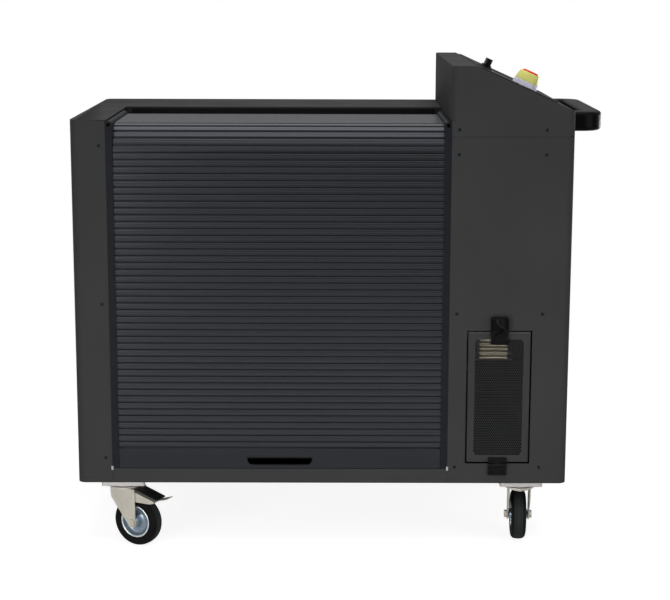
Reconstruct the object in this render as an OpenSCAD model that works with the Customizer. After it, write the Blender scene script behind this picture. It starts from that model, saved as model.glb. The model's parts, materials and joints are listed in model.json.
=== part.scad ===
// Laser cleaning machine: a sheet steel cabinet on four swivel casters, with a roller
// shutter over its storage bay, a sloping operator console, a push handle and a
// perforated filter door in front of its chiller.
// Millimetres, +Z up, +X towards the push handle, front towards -Y, standing on Z = 0.

/* [Cabinet] */
// Width of the cabinet, without the push handle
body_w = 1200; // [1000:10:1440]
// Depth of the cabinet
body_d = 700; // [620:10:840]
// Height of the cabinet, from its bottom edge to its deck
body_h = 890; // [800:10:1068]
// Thickness of the outer sheets
sheet_t = 2; // [1.5:0.1:2.4]
// Radius of the cabinet's upright corners
corner_r = 20; // [12:1:26]
// Width of the left corner panel's front face
left_w = 85; // [80:1:102]
// Width of the equipment column under the console
column_w = 293; // [280:1:352]

/* [Console] */
// Height of the console above the deck
console_h = 129; // [107:1:155]
// Width of the console's level top
console_flat = 55; // [46:1:66]
// Height of the console's low end above the deck
console_low = 22; // [19:1:26]
// Depth of the console's seam below the deck
seam_drop = 37.5; // [32:0.5:45]

/* [Shutter] */
// Distance from one slat to the next
slat_pitch = 16.5; // [13.8:0.1:19.8]
// Thickness of a slat
slat_t = 7.5; // [7.2:0.1:9]
// Number of slats round each quarter bend
bend_slats = 5; // [5:1:6]
// Side of the square guide profiles
guide_w = 17; // [16:0.5:20]
// Height of the bottom rail
rail_h = 52.5; // [50:0.5:63]
// Height of the sill under the shutter
sill_h = 36; // [30:1:43]
// Depth from the front to the outer face of the shutter's rear run
shutter_d = 375; // [330:1:440]
// Depth of the opening in the deck
deck_open_d = 418; // [400:1:470]

/* [Filter door] */
// Width of the door
door_w = 151; // [126:1:181]
// Height of the door
door_h = 326; // [272:1:391]
// Height of the door's bottom edge above the cabinet's bottom edge
door_z = 54; // [50:1:64]
// Gap round the door
door_gap = 3.5; // [2:0.1:4.2]
// Distance between the door's holes
hole_pitch = 15; // [12.5:0.5:18]

/* [Push handle] */
// Reach of the handle beyond the cabinet
handle_out = 85; // [72:1:100]
// Overall length of the handle
handle_len = 454; // [380:1:540]
// Height of the handle's section
handle_h = 48; // [40:1:49]
// Thickness of the handle's section
handle_t = 49; // [40:1:54]

/* [Casters] */
// Height from the floor to the cabinet's bottom edge
caster_h = 168; // [168:1:190]
// Wheel diameter
wheel_d = 125; // [104:1:127]
// Tyre width
tyre_w = 38; // [32:1:40]
// Trail of the wheel behind its kingpin
trail = 38; // [32:1:45]
// Width of the mounting plates
plate_w = 105; // [90:1:126]
// Depth of the mounting plates
plate_d = 85; // [80:1:102]

/* [Hidden] */
$fn = 48;

// Clearances
gap = 0.3;             // between pieces that move past each other
run_gap = 0.05;        // radial, between a pin and the hole that it turns in
eps = 0.01;

// Colours
panel_grey = "#36383b";
slat_grey = "#303235";
guide_grey = "#26282b";
zinc = "#b9b4a6";
zinc_blue = "#8e9aa5";
black = "#141414";

// Cabinet
col_x = body_w - column_w;             // left edge of the equipment column
seam_z = body_h - seam_drop;           // where the console housing meets the column panel
deck_z = body_h - sheet_t;
console_top = body_h + console_h;
slope_x = col_x + console_flat;        // upper end of the slope
slope_low = body_h + console_low;      // height of the slope's lower end
slope_a = atan((console_top - slope_low) / (body_w - slope_x));
slope_len = (body_w - slope_x) / cos(slope_a);
return_w = 85;                         // width of the rear returns of the side panels
flange = 20;                           // depth of the folds beside the guides
sill_d = 30;                           // depth of the sill's upper fold
deck_fold = 40;                        // depth of the fold at the back of the deck's opening
shoulder_r = 12;                       // radius of the console's front left edge
tube = sill_h - sheet_t;               // base tubes, which fit under the sill's fold
post = 28;                             // uprights
pad_t = 5;                             // pads that take the casters
pan_t = 2;
pan_z = tube + pan_t;                  // top of the floor pan

// Shutter path, in the plane of depth and height, along the slats' inner faces
bend_in = slat_pitch * bend_slats * 2 / PI;
bend_out = bend_in + slat_t;
curtain_y = 3.5;                       // outer face of the front run
curtain_top = body_h - 10;             // outer face of the top run
bend_y = curtain_y + bend_out;         // centre of the front bend
bend_z = curtain_top - bend_out;       // centre of both bends
back_bend_y = shutter_d - bend_out;    // centre of the rear bend
rail_top = sill_h + 0.5 + rail_h;
front_slats = floor((bend_z - rail_top) / slat_pitch);
front_len = bend_z - rail_top;
arc_len = PI / 2 * bend_in;
top_len = back_bend_y - bend_y;
tail_len = 5 * slat_pitch;
all_slats = floor((front_len + 2 * arc_len + top_len + tail_len) / slat_pitch);
slot_d = 10;                           // depth of the slots in the guides
slat_in = 9;                           // how far a slat reaches into its slot
slat_x0 = left_w + guide_w - slat_in;
slat_x1 = col_x - guide_w + slat_in;
joint_v = 3;                           // height of the slats' hinge line
bulb_r = 1.5;
socket_r = 1.8;
curl_r = 2.8;
skin_t = 1.6;

// Point of the path at distance s above the bottom rail
function path(s) =
    s < front_len ? [curtain_y + slat_t, rail_top + s] :
    s < front_len + arc_len ? arc_point(bend_y, 180 - (s - front_len) / bend_in * 180 / PI) :
    s < front_len + arc_len + top_len ? [bend_y + s - front_len - arc_len, bend_z + bend_in] :
    s < front_len + 2 * arc_len + top_len ?
        arc_point(back_bend_y, 90 - (s - front_len - arc_len - top_len) / bend_in * 180 / PI) :
    [back_bend_y + bend_in, bend_z - (s - front_len - 2 * arc_len - top_len)];
function arc_point(y, a) = [y + bend_in * cos(a), bend_z + bend_in * sin(a)];

// Filter door
door_x = col_x + 47;                   // left edge of the door
door_cx = door_x + door_w / 2;
field_w = 120;                         // perforated field
field_h = door_h - 32;
field_r = 25;
hinge_z = door_z - 7;
hinge_y = -6;
hinge_w = 45;
knuckle_r = 5;
hinge_pin_r = 2;
latch_w = 42;

// Console pieces, at distances down the slope
estop_s = 141;
estop_y = 150;
estop_r = 32.5;
estop_base_h = 14;
estop_h = 36.6;
estop_travel = 4;
button_r = 20;
selector_s = 36;
selector_y = 150;
selector_r = 21;
display_s = 42;
display_l = 165;
display_y = 225;
display_w = 270;

// Push handle
handle_top = body_h + 13;
handle_z = handle_top - handle_h / 2;
handle_y0 = (body_d - handle_len) / 2;
handle_bend = handle_t / 2 + 5;        // radius of the handle's centre line at its corners

// Casters
plate_t = 11;
race_h = 6;
crown_t = 4;
crown_top = -plate_t - race_h - gap;   // below the cabinet's bottom edge
crown_r = 37;
axle_z = wheel_d / 2 - caster_h;
kingpin_r = 6;
axle_r = 6;
fork_in = tyre_w / 2 + 5.5;            // inner face of a fork leg
leg_t = 3;
rim_r = wheel_d / 2 - 21.5;
lever_z = -36;                         // brake lever's pivot
lever_s = 22;
lever_w = tyre_w + 8.4;
caster_dx = 109;                       // kingpins from the cabinet's sides
caster_dy = plate_d / 2 + 5;
// Each caster's name, place, heading and brake
fl = [caster_dx, caster_dy, -27];
fr = [body_w - caster_dx, caster_dy, 87];
rl = [caster_dx, body_d - caster_dy, -98];
rr = [body_w - caster_dx, body_d - caster_dy, -82];
casters = [fl, fr, rl, rr];

// Middle of the whole machine's box, which is the origin
pedal_tip = 131;                       // reach of the brake lever from its kingpin
pedal_tip_w = 30;
y_low = fl[1] + pedal_tip * sin(fl[2]) - pedal_tip_w / 2 * cos(fl[2]);
screw_head = 1.6;
mid_x = (body_w + handle_out) / 2;
mid_y = (y_low + body_d + screw_head) / 2;

// Screws: [x, z] on the front and rear faces
front_screws = concat(
    [for (z = [63, body_h / 2 + 2, body_h - 61]) [left_w - 16, z]],
    [for (x = [col_x + 18, body_w - 68], z = [41, body_h / 2 - 20, body_h - 80]) [x, z]]);
console_screws = [for (x = [col_x + 18, body_w - 68]) [x, body_h - 21]];
rear_screws = [for (x = [return_w - 16, body_w - return_w + 16],
                    z = [41, body_h / 2 - 20, body_h - 80]) [x, z]];

// Tools ------------------------------------------------------------------------------

module machine() translate([-mid_x, -mid_y, caster_h]) children();

// A shape drawn in depth and height, carried along X
module along_x(x, len) translate([x, 0, 0]) rotate([90, 0, 90]) linear_extrude(len) children();

// A shape drawn in width and height, carried along Y
module along_y(y, len) translate([0, y + len, 0]) rotate([90, 0, 0]) linear_extrude(len) children();

module box(lo, hi) translate(lo) cube(hi - lo);

module round_rect(w, d, r) {
    translate([r, 0]) square([w - 2 * r, d]);
    translate([0, r]) square([w, d - 2 * r]);
    for (x = [r, w - r], y = [r, d - r]) translate([x, y]) circle(r);
}

// Frame on the slope: X down it, Y across it, Z out of it
module on_slope(s, y)
    translate([slope_x, y, console_top]) rotate([0, slope_a, 0]) translate([s, 0, 0]) children();

module caster_frame(c) machine() translate([c[0], c[1], 0]) rotate(c[2]) children();

// A cylinder along Y, from y to y + len
module pin_y(x, y, z, r, len) translate([x, y, z]) rotate([-90, 0, 0]) cylinder(r = r, h = len);

// A cylinder along X
module pin_x(x, y, z, r, len) translate([x, y, z]) rotate([0, 90, 0]) cylinder(r = r, h = len);

// Cabinet ----------------------------------------------------------------------------

module plan() round_rect(body_w, body_d, corner_r);

module plan_in() translate([sheet_t, sheet_t])
    round_rect(body_w - 2 * sheet_t, body_d - 2 * sheet_t, corner_r - sheet_t);

module plan_ring() difference() {
    plan();
    plan_in();
}

// Posts' plan corners: [x, y] of each upright
post_sites = concat(
    [for (x = [left_w - sheet_t - post, col_x + sheet_t + 2, body_w - 68 - post / 2],
          y = [sheet_t, body_d - sheet_t - post]) [x, y]]);

module base_frame() color("#2a2a2a") machine() difference() {
    union() {
        for (y = [sheet_t, body_d - sheet_t - tube])
            box([sheet_t + corner_r, y, 0], [body_w - sheet_t - corner_r, y + tube, tube]);
        for (x = [55, col_x - tube / 2, body_w - 55 - tube])
            box([x, sheet_t + tube, 0], [x + tube, body_d - sheet_t - tube, tube]);
        for (p = post_sites) box([p[0], p[1], tube], [p[0] + post, p[1] + post, seam_z - 5]);
        for (x = [post_sites[2][0], post_sites[4][0]])
            box([x, sheet_t + post, seam_z - 5 - post], [x + post, body_d - sheet_t - post, seam_z - 5]);
        for (c = casters) translate([c[0] - plate_w / 2, c[1] - plate_d / 2, 0]) cube([plate_w, plate_d, pad_t]);
    }
    for (s = front_screws) pin_y(s[0], 0, s[1], 2 + run_gap, sheet_t + 8);
    for (s = rear_screws) pin_y(s[0], body_d - sheet_t - 8, s[1], 2 + run_gap, sheet_t + 9);
}

module floor_pan() color("#3a3c3e") machine() difference() {
    edge = sheet_t + gap;
    translate([edge, edge, tube]) linear_extrude(pan_t)
        round_rect(body_w - 2 * edge, body_d - 2 * edge, corner_r - sheet_t);
    for (p = post_sites) box([p[0] - gap, p[1] - gap, 0], [p[0] + post + gap, p[1] + post + gap, 60]);
    box([left_w, 0, 0], [col_x, sill_d + gap, 60]);
}

module left_panel() color(panel_grey) machine() difference() {
    union() {
        linear_extrude(deck_z) intersection() {
            plan_ring();
            translate([-1, -1]) square([left_w + 1, body_d + 2]);
        }
        box([left_w - sheet_t, sheet_t - eps, pan_z + gap], [left_w, flange, deck_z - guide_w]);
        box([left_w - sheet_t, body_d - flange, pan_z + gap], [left_w, body_d - sheet_t + eps, deck_z - 40]);
    }
    for (s = front_screws) pin_y(s[0], -1, s[1], 2 + run_gap, sheet_t + 2);
    for (s = rear_screws) pin_y(s[0], body_d - sheet_t - 1, s[1], 2 + run_gap, sheet_t + 2);
}

module right_panel() color(panel_grey) machine() difference() {
    union() {
        linear_extrude(seam_z - 0.5) intersection() {
            plan_ring();
            difference() {
                translate([col_x, -1]) square([column_w + 1, body_d + 2]);
                translate([col_x - 1, body_d - 30]) square([body_w - return_w - col_x + 1, 40]);
            }
        }
        box([col_x, sheet_t - eps, pan_z + gap], [col_x + sheet_t, flange, seam_z - 1]);
    }
    for (s = front_screws) pin_y(s[0], -1, s[1], 2 + run_gap, sheet_t + 2);
    for (s = rear_screws) pin_y(s[0], body_d - sheet_t - 1, s[1], 2 + run_gap, sheet_t + 2);
    box([door_x - door_gap, -1, door_z - door_gap], [door_x + door_w + door_gap, 10, door_z + door_h + door_gap]);
}

// Outline of the console's ends, inset by t
module console_profile(t) {
    k = t * tan(slope_a / 2);
    polygon([
        [col_x + t, seam_z], [col_x + t, console_top - t], [slope_x - k, console_top - t],
        [body_w - t, slope_low - t / cos(slope_a) + t * tan(slope_a)], [body_w - t, seam_z]
    ]);
}

// Plan of the console: its left edges are rounded above the deck
module console_plan(t, r_left) {
    r = corner_r - t;
    intersection() {
        translate([t, t]) round_rect(body_w - 2 * t, body_d - 2 * t, r);
        translate([col_x + t, 0]) square([column_w, body_d]);
        union() {
            translate([col_x + t, t + r_left]) square([column_w, body_d - 2 * (t + r_left)]);
            translate([col_x + t + r_left, 0]) square([column_w, body_d]);
            for (y = [t + r_left, body_d - t - r_left]) translate([col_x + t + r_left, y]) circle(r_left);
        }
    }
}

module console_block(t) intersection() {
    along_y(0, body_d) console_profile(t);
    union() {
        translate([0, 0, seam_z - 1]) linear_extrude(seam_drop + 1 + eps) console_plan(t, 0.5);
        translate([0, 0, body_h]) linear_extrude(console_h + 1) console_plan(t, shoulder_r - t);
    }
}

module console_housing() color(panel_grey) machine() difference() {
    console_block(0);
    translate([0, 0, -eps]) console_block(sheet_t);
    box([col_x + sheet_t, sheet_t, seam_z - 2], [body_w - sheet_t, body_d - sheet_t, seam_z + 1]);
    on_slope(estop_s, estop_y) translate([0, 0, -20]) cylinder(r = 11.2, h = 40);
    on_slope(selector_s, selector_y) translate([0, 0, -20]) cylinder(r = 11.2, h = 40);
    on_slope(display_s, display_y) translate([-gap, -gap, -20])
        cube([display_l + 2 * gap, display_w + 2 * gap, 40]);
    for (s = console_screws) pin_y(s[0], -1, s[1], 2 + run_gap, sheet_t + 2);
    for (y = bolt_sites, z = [handle_z - 10, handle_z + 10])
        pin_x(body_w - sheet_t - 5, y, z, 4 + run_gap, 10);
}
bolt_sites = [handle_y0 + handle_t / 2, handle_y0 + handle_len - handle_t / 2];

module top_deck() color(panel_grey) machine() {
    translate([0, 0, deck_z]) linear_extrude(sheet_t) difference() {
        intersection() {
            plan();
            translate([-1, -1]) square([col_x + 1, body_d + 2]);
        }
        translate([left_w + 2, -1]) square([col_x, deck_open_d + 1]);
    }
    box([left_w - sheet_t, sheet_t, deck_z - guide_w + 0.5], [left_w, deck_open_d, deck_z + eps]);
    box([left_w + 2, deck_open_d, deck_z - deck_fold], [col_x - gap, deck_open_d + sheet_t, deck_z + eps]);
    box([left_w + gap, body_d - sheet_t, seam_z], [col_x - gap, body_d, deck_z + eps]);
}

// Seal along the back of the deck's opening, with a lip that reaches to the shutter
module deck_seal() color(black) machine() along_x(left_w + guide_w + gap, col_x - left_w - 2 * guide_w - 2 * gap) {
    lip_z = deck_z - deck_fold;
    lip_t = 3;
    lip_y = back_bend_y + sqrt(pow(bend_out, 2) - pow(lip_z - lip_t - bend_z, 2)) + 1;
    translate([deck_open_d - 2.5, lip_z]) square([2.5, deck_fold - 2]);
    translate([lip_y, lip_z - lip_t]) square([deck_open_d - lip_y + sheet_t, lip_t]);
}

module rear_panel() color(panel_grey) machine() difference() {
    box([return_w + gap, body_d - sheet_t, 2], [body_w - return_w - gap, body_d, seam_z - 0.5]);
    // Outlet louvres of the laser source and of the chiller
    for (x = [190, 400], z = [90 : 16 : 346]) box([x, body_d - 5, z], [x + 180, body_d + 1, z + 6]);
    for (z = [90 : 16 : 522]) box([col_x + 45, body_d - 5, z], [body_w - return_w - 45, body_d + 1, z + 6]);
    pin_y(gland_x, body_d - 5, gland_z, 12 + run_gap, 10);
}
gland_x = 760;
gland_z = 90;

module sill() color(panel_grey) machine() {
    box([left_w + gap, 0, 0], [col_x - gap, sheet_t, sill_h]);
    box([left_w + gap, sheet_t - eps, sill_h - sheet_t], [col_x - gap, sill_d, sill_h]);
}

// Fixed bay behind the shutter -------------------------------------------------------

liner_off = 5;                         // from the slats to the liner
liner_t = 1.5;
liner_r = bend_in - liner_off;
liner_y0 = bend_y - liner_r;
liner_y1 = back_bend_y + liner_r;
liner_x0 = left_w + guide_w + 2;
liner_x1 = col_x - guide_w - 2;

module liner_outline(t) {
    r = liner_r - t;
    translate([bend_y - r, pan_z + t]) square([back_bend_y - bend_y + 2 * r, bend_z - pan_z - t]);
    translate([bend_y, pan_z + t]) square([back_bend_y - bend_y, bend_z - pan_z - t + r]);
    for (y = [bend_y, back_bend_y]) translate([y, bend_z]) circle(r);
}

module bay_liner() color("#4a4c4f") machine() {
    for (x = [liner_x0, liner_x1 - liner_t]) along_x(x, liner_t) liner_outline(0);
    along_x(liner_x0 + liner_t - eps, liner_x1 - liner_x0 - 2 * liner_t + 2 * eps) difference() {
        liner_outline(0);
        liner_outline(liner_t);
        translate([0, pan_z + liner_t]) square([bend_y, body_h]);
    }
}

// Shutter ----------------------------------------------------------------------------

// The channel that the slats run in, c wider than they are on each side
module track(c) {
    translate([curtain_y - c, sill_h - 1]) square([slat_t + 2 * c, bend_z - sill_h + 1]);
    translate([shutter_d - slat_t - c, sill_h - 1]) square([slat_t + 2 * c, bend_z - sill_h + 1]);
    translate([bend_y, curtain_top - slat_t - c]) square([back_bend_y - bend_y, slat_t + 2 * c]);
    for (y = [bend_y, back_bend_y]) difference() {
        intersection() {
            translate([y, bend_z]) circle(bend_out + c);
            translate([y == bend_y ? y - bend_out - 5 : y, bend_z]) square([bend_out + 5, bend_out + 5]);
        }
        translate([y, bend_z]) circle(bend_in - c);
    }
}

guide_top = body_h - 3;                // top of the level guides
guide_low = guide_top - guide_w;
rear_guide_y = shutter_d - slat_t - 4.5;

guide_y = 0.5;                         // front of both guides
guide_crown = 7;                       // radius of the level guides' upper edges

// Section of the level guides, seen from the front
module level_section() {
    square([guide_w, guide_w - guide_crown]);
    translate([guide_crown, 0]) square([guide_w - 2 * guide_crown, guide_w]);
    for (x = [guide_crown, guide_w - guide_crown])
        translate([x, guide_w - guide_crown]) circle(guide_crown);
}

// Three lengths of profile: front upright, level and rear upright.
// The level one's end, with its screw hole, shows at the front corner.
module guide(x, slot_x) color(guide_grey) machine() difference() {
    union() {
        along_x(x, guide_w) {
            translate([guide_y, sill_h]) square([guide_w - 1.5, bend_z - sill_h]);
            translate([rear_guide_y, pan_z]) square([guide_w, bend_z - pan_z]);
        }
        translate([x, back_bend_y, guide_low]) rotate([90, 0, 0])
            linear_extrude(back_bend_y - guide_y) level_section();
    }
    pin_y(x + guide_w / 2, -1, guide_low + guide_w / 2, 4.5, 14);
    along_x(slot_x, slot_d) track(gap);
}

module guide_left() guide(left_w, left_w + guide_w - slot_d);

module guide_right() guide(col_x - guide_w, col_x - guide_w);

// Moulded corner pieces that lead the slats from one run to the next. The front ones stand flush
// with the upright guides, under the level ones.
module corner_guides() color(guide_grey) machine()
    for (x = [left_w, col_x - guide_w]) {
        slot_x = x == left_w ? x + guide_w - slot_d : x;
        difference() {
            along_x(x, guide_w) difference() {
                union() {
                    translate([guide_y, bend_z]) square([bend_y - guide_y, guide_low - bend_z]);
                    intersection() {
                        translate([back_bend_y, bend_z])
                            square([shutter_d + 4.5 - back_bend_y, guide_top - bend_z - 1]);
                        translate([back_bend_y, bend_z]) circle(bend_out + 4);
                    }
                }
                for (y = [bend_y, back_bend_y]) translate([y, bend_z]) circle(bend_in - 6);
            }
            along_x(slot_x, slot_d) track(gap);
        }
    }

module guide_clips() color("#c8c8c8") machine()
    for (x = [left_w, col_x]) {
        box([x - 2.5, -1.2, sill_h - 4], [x + 2.5, 0, sill_h + 6]);
    }

// One slat, drawn with its hinge line at the origin and its length of pitch along X.
// A curl at its lower edge hooks round the bulb on the slat below it.
module slat_shape() {
    lip = 2.4;
    top = slat_pitch - curl_r - 0.6;
    mid = (top - lip) / 2;
    polygon([
        [-lip, slat_t - skin_t], [-lip, slat_t - 1], [-lip + 1, slat_t], [mid - 0.8, slat_t],
        [mid, slat_t - 0.5], [mid + 0.8, slat_t], [top - 1, slat_t], [top, slat_t - 1],
        [top, joint_v + 0.6], [slat_pitch, joint_v + 0.6], [slat_pitch, joint_v - 0.6],
        [top - 1.4, joint_v - 0.6], [top - 1.4, slat_t - skin_t]
    ]);
    translate([slat_pitch, joint_v]) circle(bulb_r);
    difference() {
        union() {
            translate([0, joint_v]) circle(curl_r);
            translate([-1.2, joint_v]) square([2.4, slat_t - skin_t - joint_v + eps]);
        }
        translate([0, joint_v]) circle(socket_r);
        translate([-6, joint_v - 1.3]) square([6, 2.6]);
    }
}

// A slat lies on the path from distance s to s + pitch
module slat(s) {
    a = path(s);
    b = path(s + slat_pitch);
    turn = atan2(b[1] - a[1], b[0] - a[0]);
    along_x(slat_x0, slat_x1 - slat_x0) translate(a) rotate(turn) slat_shape();
}

module curtain_front() color(slat_grey) machine()
    for (i = [0 : front_slats - 1]) slat(i * slat_pitch);

module curtain_upper() color("#5b5f66") machine()
    for (i = [front_slats : all_slats - 1]) slat(i * slat_pitch);

pull_w = 161;                          // finger pull
pull_h = 20;
pull_z = sill_h + 8.5;
pull_x = (left_w + col_x) / 2;

module pull_shape(c) {
    r = 18;
    intersection() {
        translate([pull_x - pull_w / 2 - c, pull_z - c]) square([pull_w + 2 * c, pull_h + 2 * c]);
        union() {
            translate([pull_x - pull_w / 2 - c, pull_z + r - c]) square([pull_w + 2 * c, pull_h]);
            translate([pull_x - pull_w / 2 + r, pull_z - c]) square([pull_w - 2 * r, pull_h + 2 * c]);
            for (x = [-1, 1]) translate([pull_x + x * (pull_w / 2 - r), pull_z + r]) circle(r + c);
        }
    }
}

module bottom_rail() color("#34363a") machine() difference() {
    union() {
        box([slat_x0, curtain_y, sill_h + 0.5], [slat_x1, curtain_y + slat_t, rail_top - curl_r - gap]);
        box([left_w + guide_w + 0.5, 2, sill_h + 0.5], [col_x - guide_w - 0.5, 14, rail_top - 3.5]);
        along_x(slat_x0, slat_x1 - slat_x0) {
            translate([curtain_y + slat_t - joint_v, rail_top]) circle(bulb_r);
            translate([curtain_y + slat_t - joint_v - 0.6, rail_top - 4]) square([1.2, 4]);
        }
    }
    along_y(-1, 20) pull_shape(gap);
}

module finger_pull() color(black) machine() difference() {
    along_y(2, 13.5) pull_shape(0);
    along_y(1, 11) intersection() {
        translate([pull_x - pull_w / 2 + 2.5, pull_z + 2.5]) square([pull_w - 5, pull_h - 5]);
        translate([0, -2.5]) pull_shape(-0.5);
    }
}

// Filter door ------------------------------------------------------------------------

module field() translate([door_cx - field_w / 2, door_z + 17]) round_rect(field_w, field_h, field_r);

module holes() {
    rows = floor(field_h / (hole_pitch * 0.866));
    cols = floor(field_w / hole_pitch);
    for (j = [0 : rows - 1], i = [0 : cols - 1 - j % 2]) {
        x = (i - (cols - 1 - j % 2) / 2) * hole_pitch;
        z = (j - (rows - 1) / 2) * hole_pitch * 0.866;
        corner = norm([max(0, abs(x) - field_w / 2 + field_r), max(0, abs(z) - field_h / 2 + field_r)]);
        if (corner < field_r - hole_pitch * 0.36)
            translate([door_cx + x, door_z + 17 + field_h / 2 + z]) rotate(30) circle(hole_pitch * 0.42, $fn = 6);
    }
}

module filter_door() color("#232427") machine() {
    along_y(0, sheet_t) difference() {
        translate([door_x, door_z]) square([door_w, door_h]);
        holes();
    }
    // Folded back edges
    difference() {
        box([door_x, sheet_t - eps, door_z], [door_x + door_w, 12, door_z + door_h]);
        box([door_x + sheet_t, 0, door_z + sheet_t], [door_x + door_w - sheet_t, 13, door_z + door_h - sheet_t]);
        // The lower fold stays clear of the opening as the door swings down
        box([door_x - 1, sheet_t, door_z - 1], [door_x + door_w + 1, 13, door_z + 6]);
    }
}

module hinge_lower_leaf() color(black) machine() {
    x = door_cx - hinge_w / 2;
    difference() {
        union() {
            box([x, -7, hinge_z - 25], [x + hinge_w, 0, hinge_z - knuckle_r - 0.5]);
            for (k = [0, 31]) {
                pin_x(x + k, hinge_y, hinge_z, knuckle_r, 14);
                box([x + k, hinge_y - 1, hinge_z - knuckle_r - 1], [x + k + 14, hinge_y + 3, hinge_z]);
            }
        }
        pin_x(x - 1, hinge_y, hinge_z, hinge_pin_r + run_gap, hinge_w + 2);
        for (k = [8, 37]) pin_y(x + k, -8, hinge_z - 16, 3.2, 3.5);
    }
}

module hinge_upper_leaf() color(black) machine() {
    x = door_cx - hinge_w / 2;
    difference() {
        union() {
            box([x, -7, hinge_z + knuckle_r + 1.5], [x + hinge_w, 0, hinge_z + 19]);
            pin_x(x + 14 + gap, hinge_y, hinge_z, knuckle_r, 17 - 2 * gap);
            box([x + 14 + gap, hinge_y - 1, hinge_z], [x + 31 - gap, hinge_y + 3, hinge_z + knuckle_r + 2]);
        }
        pin_x(x - 1, hinge_y, hinge_z, hinge_pin_r + run_gap, hinge_w + 2);
        for (k = [8, 37]) pin_y(x + k, -8, hinge_z + 13.5, 3.2, 3.5);
    }
}

module hinge_pin() color("#8a8a8a") machine()
    pin_x(door_cx - hinge_w / 2, hinge_y, hinge_z, hinge_pin_r, hinge_w);

latch_z = door_z + door_h - 30;        // bottom of the latch
latch_h = 67;
knob_z = latch_z + 19;

module latch_body() color(black) machine() difference() {
    union() {
        along_y(-9, 9) translate([door_cx - latch_w / 2 - 1, latch_z]) round_rect(latch_w, latch_h, 3);
        along_y(-15, 7) translate([door_cx - latch_w / 2 - 1, latch_z + 33]) round_rect(latch_w, latch_h - 33, 4);
    }
    pin_y(door_cx - 1, -10, knob_z, 4 + run_gap, 11);
}

module latch_knob() color("#1c1c1c") machine() difference() {
    union() {
        pin_y(door_cx - 1, -17, knob_z, 10, 7.7);
        pin_y(door_cx - 1, -10, knob_z, 4, 10);
    }
    box([door_cx - 2.2, -18, knob_z - 8], [door_cx + 0.2, -15.5, knob_z + 8]);
}

// Chiller, laser source and supply ---------------------------------------------------

cond_x = door_cx - 70;
cond_w = 140;
cond_y = 42;
cond_d = 44;
cond_z0 = pan_z;
cond_z1 = door_z + 252;
fan_z = 190;
fan_w = 150;
fan_y = cond_y + cond_d;

module condenser() color("#1d1e20") machine() {
    for (x = [cond_x, cond_x + cond_w - 3]) box([x, cond_y, cond_z0], [x + 3, fan_y, cond_z1]);
    box([cond_x, cond_y, cond_z1 - 3], [cond_x + cond_w, fan_y, cond_z1]);
    box([cond_x, cond_y, cond_z0], [cond_x + cond_w, fan_y, cond_z0 + 3]);
    for (z = [cond_z0 + 12 : 9 : cond_z1 - 12])
        box([cond_x + 3 - eps, cond_y + 3, z], [cond_x + cond_w - 3 + eps, fan_y - 3, z + 1.2]);
}

module finned_cooler() color("#b7a98f") machine() {
    x = door_cx - 45;
    box([x, cond_y + 26, cond_z1], [x + 68, cond_y + 34, cond_z1 + 66]);
    for (i = [0 : 5]) box([x, cond_y - 8, cond_z1 + 0 + 11 * i], [x + 68, cond_y + 26 + eps, cond_z1 + 6 + 11 * i]);
}

module fan_frame() color(black) machine() {
    difference() {
        box([door_cx - fan_w / 2, fan_y, pan_z], [door_cx + fan_w / 2, fan_y + 38, fan_z + fan_w / 2]);
        pin_y(door_cx, fan_y - 1, fan_z, fan_w / 2 - 5, 40);
        box([door_cx - fan_w / 2 + 8, fan_y - 1, pan_z + 3], [door_cx + fan_w / 2 - 8, fan_y + 39, fan_z - fan_w / 2 - 3]);
    }
    difference() {
        union() {
            pin_y(door_cx, fan_y + 30, fan_z, 24, 8);
            for (a = [45, 135]) translate([door_cx, fan_y + 34, fan_z]) rotate([0, a, 0])
                cube([fan_w - 8, 6, 8], center = true);
        }
        pin_y(door_cx, fan_y + 29, fan_z, 4 + run_gap, 10);
    }
}

module fan_rotor() color("#2a2a2a") machine() {
    pin_y(door_cx, fan_y + 8, fan_z, 22, 20);
    pin_y(door_cx, fan_y + 27, fan_z, 4, 10);
    for (i = [0 : 6]) translate([door_cx, fan_y + 18, fan_z]) rotate([0, i * 360 / 7, 0])
        translate([42, 0, 0]) rotate([32, 0, 0]) cube([48, 2, 26], center = true);
}

module water_tank() color("#c9cdd0") machine() difference() {
    union() {
        box([col_x + 20, body_d - 270, pan_z], [col_x + 200, body_d - 50, pan_z + 230]);
        translate([col_x + 60, body_d - 220, pan_z + 230 - eps]) cylinder(r = 22, h = 24);
    }
    translate([col_x + 60, body_d - 220, pan_z + 190]) cylinder(r = 18, h = 80);
}

module compressor() color("#1b1b1b") machine() {
    translate([col_x + 110, 300, pan_z + 12 - eps]) cylinder(r = 62, h = 150);
    translate([col_x + 110, 300, pan_z + 162 - 2 * eps]) cylinder(r1 = 62, r2 = 40, h = 22);
    for (a = [45 : 90 : 315]) translate([col_x + 110, 300, pan_z]) rotate(a) translate([62, 0, 0]) cylinder(r = 12, h = 14);
    translate([col_x + 110 - 70, 300 - 70, pan_z + 12]) cube([140, 140, 3]);
}

module laser_source() color("#8b8f94") machine() {
    y0 = shutter_d + 25;
    y1 = body_d - 30;
    box([130, y0, pan_z], [612, y1, pan_z + 178]);
    for (x = [170, 300, 430, 560]) box([x, y0 + 20, pan_z + 178 - eps], [x + 6, y1 - 20, pan_z + 186]);
}

module power_supply() color("#6f7377") machine() {
    y0 = shutter_d + 25;
    box([632, y0, pan_z + 120], [632 + 3, body_d - 40, pan_z + 250]);
    box([632, y0, pan_z], [col_x - 40, body_d - 120, pan_z + 130]);
}

// Console pieces ---------------------------------------------------------------------

module display() color("#0d0f12") machine() on_slope(display_s, display_y) {
    translate([0, 0, -6]) cube([display_l, display_w, 6.4]);
    translate([10, 10, -24]) cube([display_l - 20, display_w - 20, 18 + eps]);
}

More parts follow.
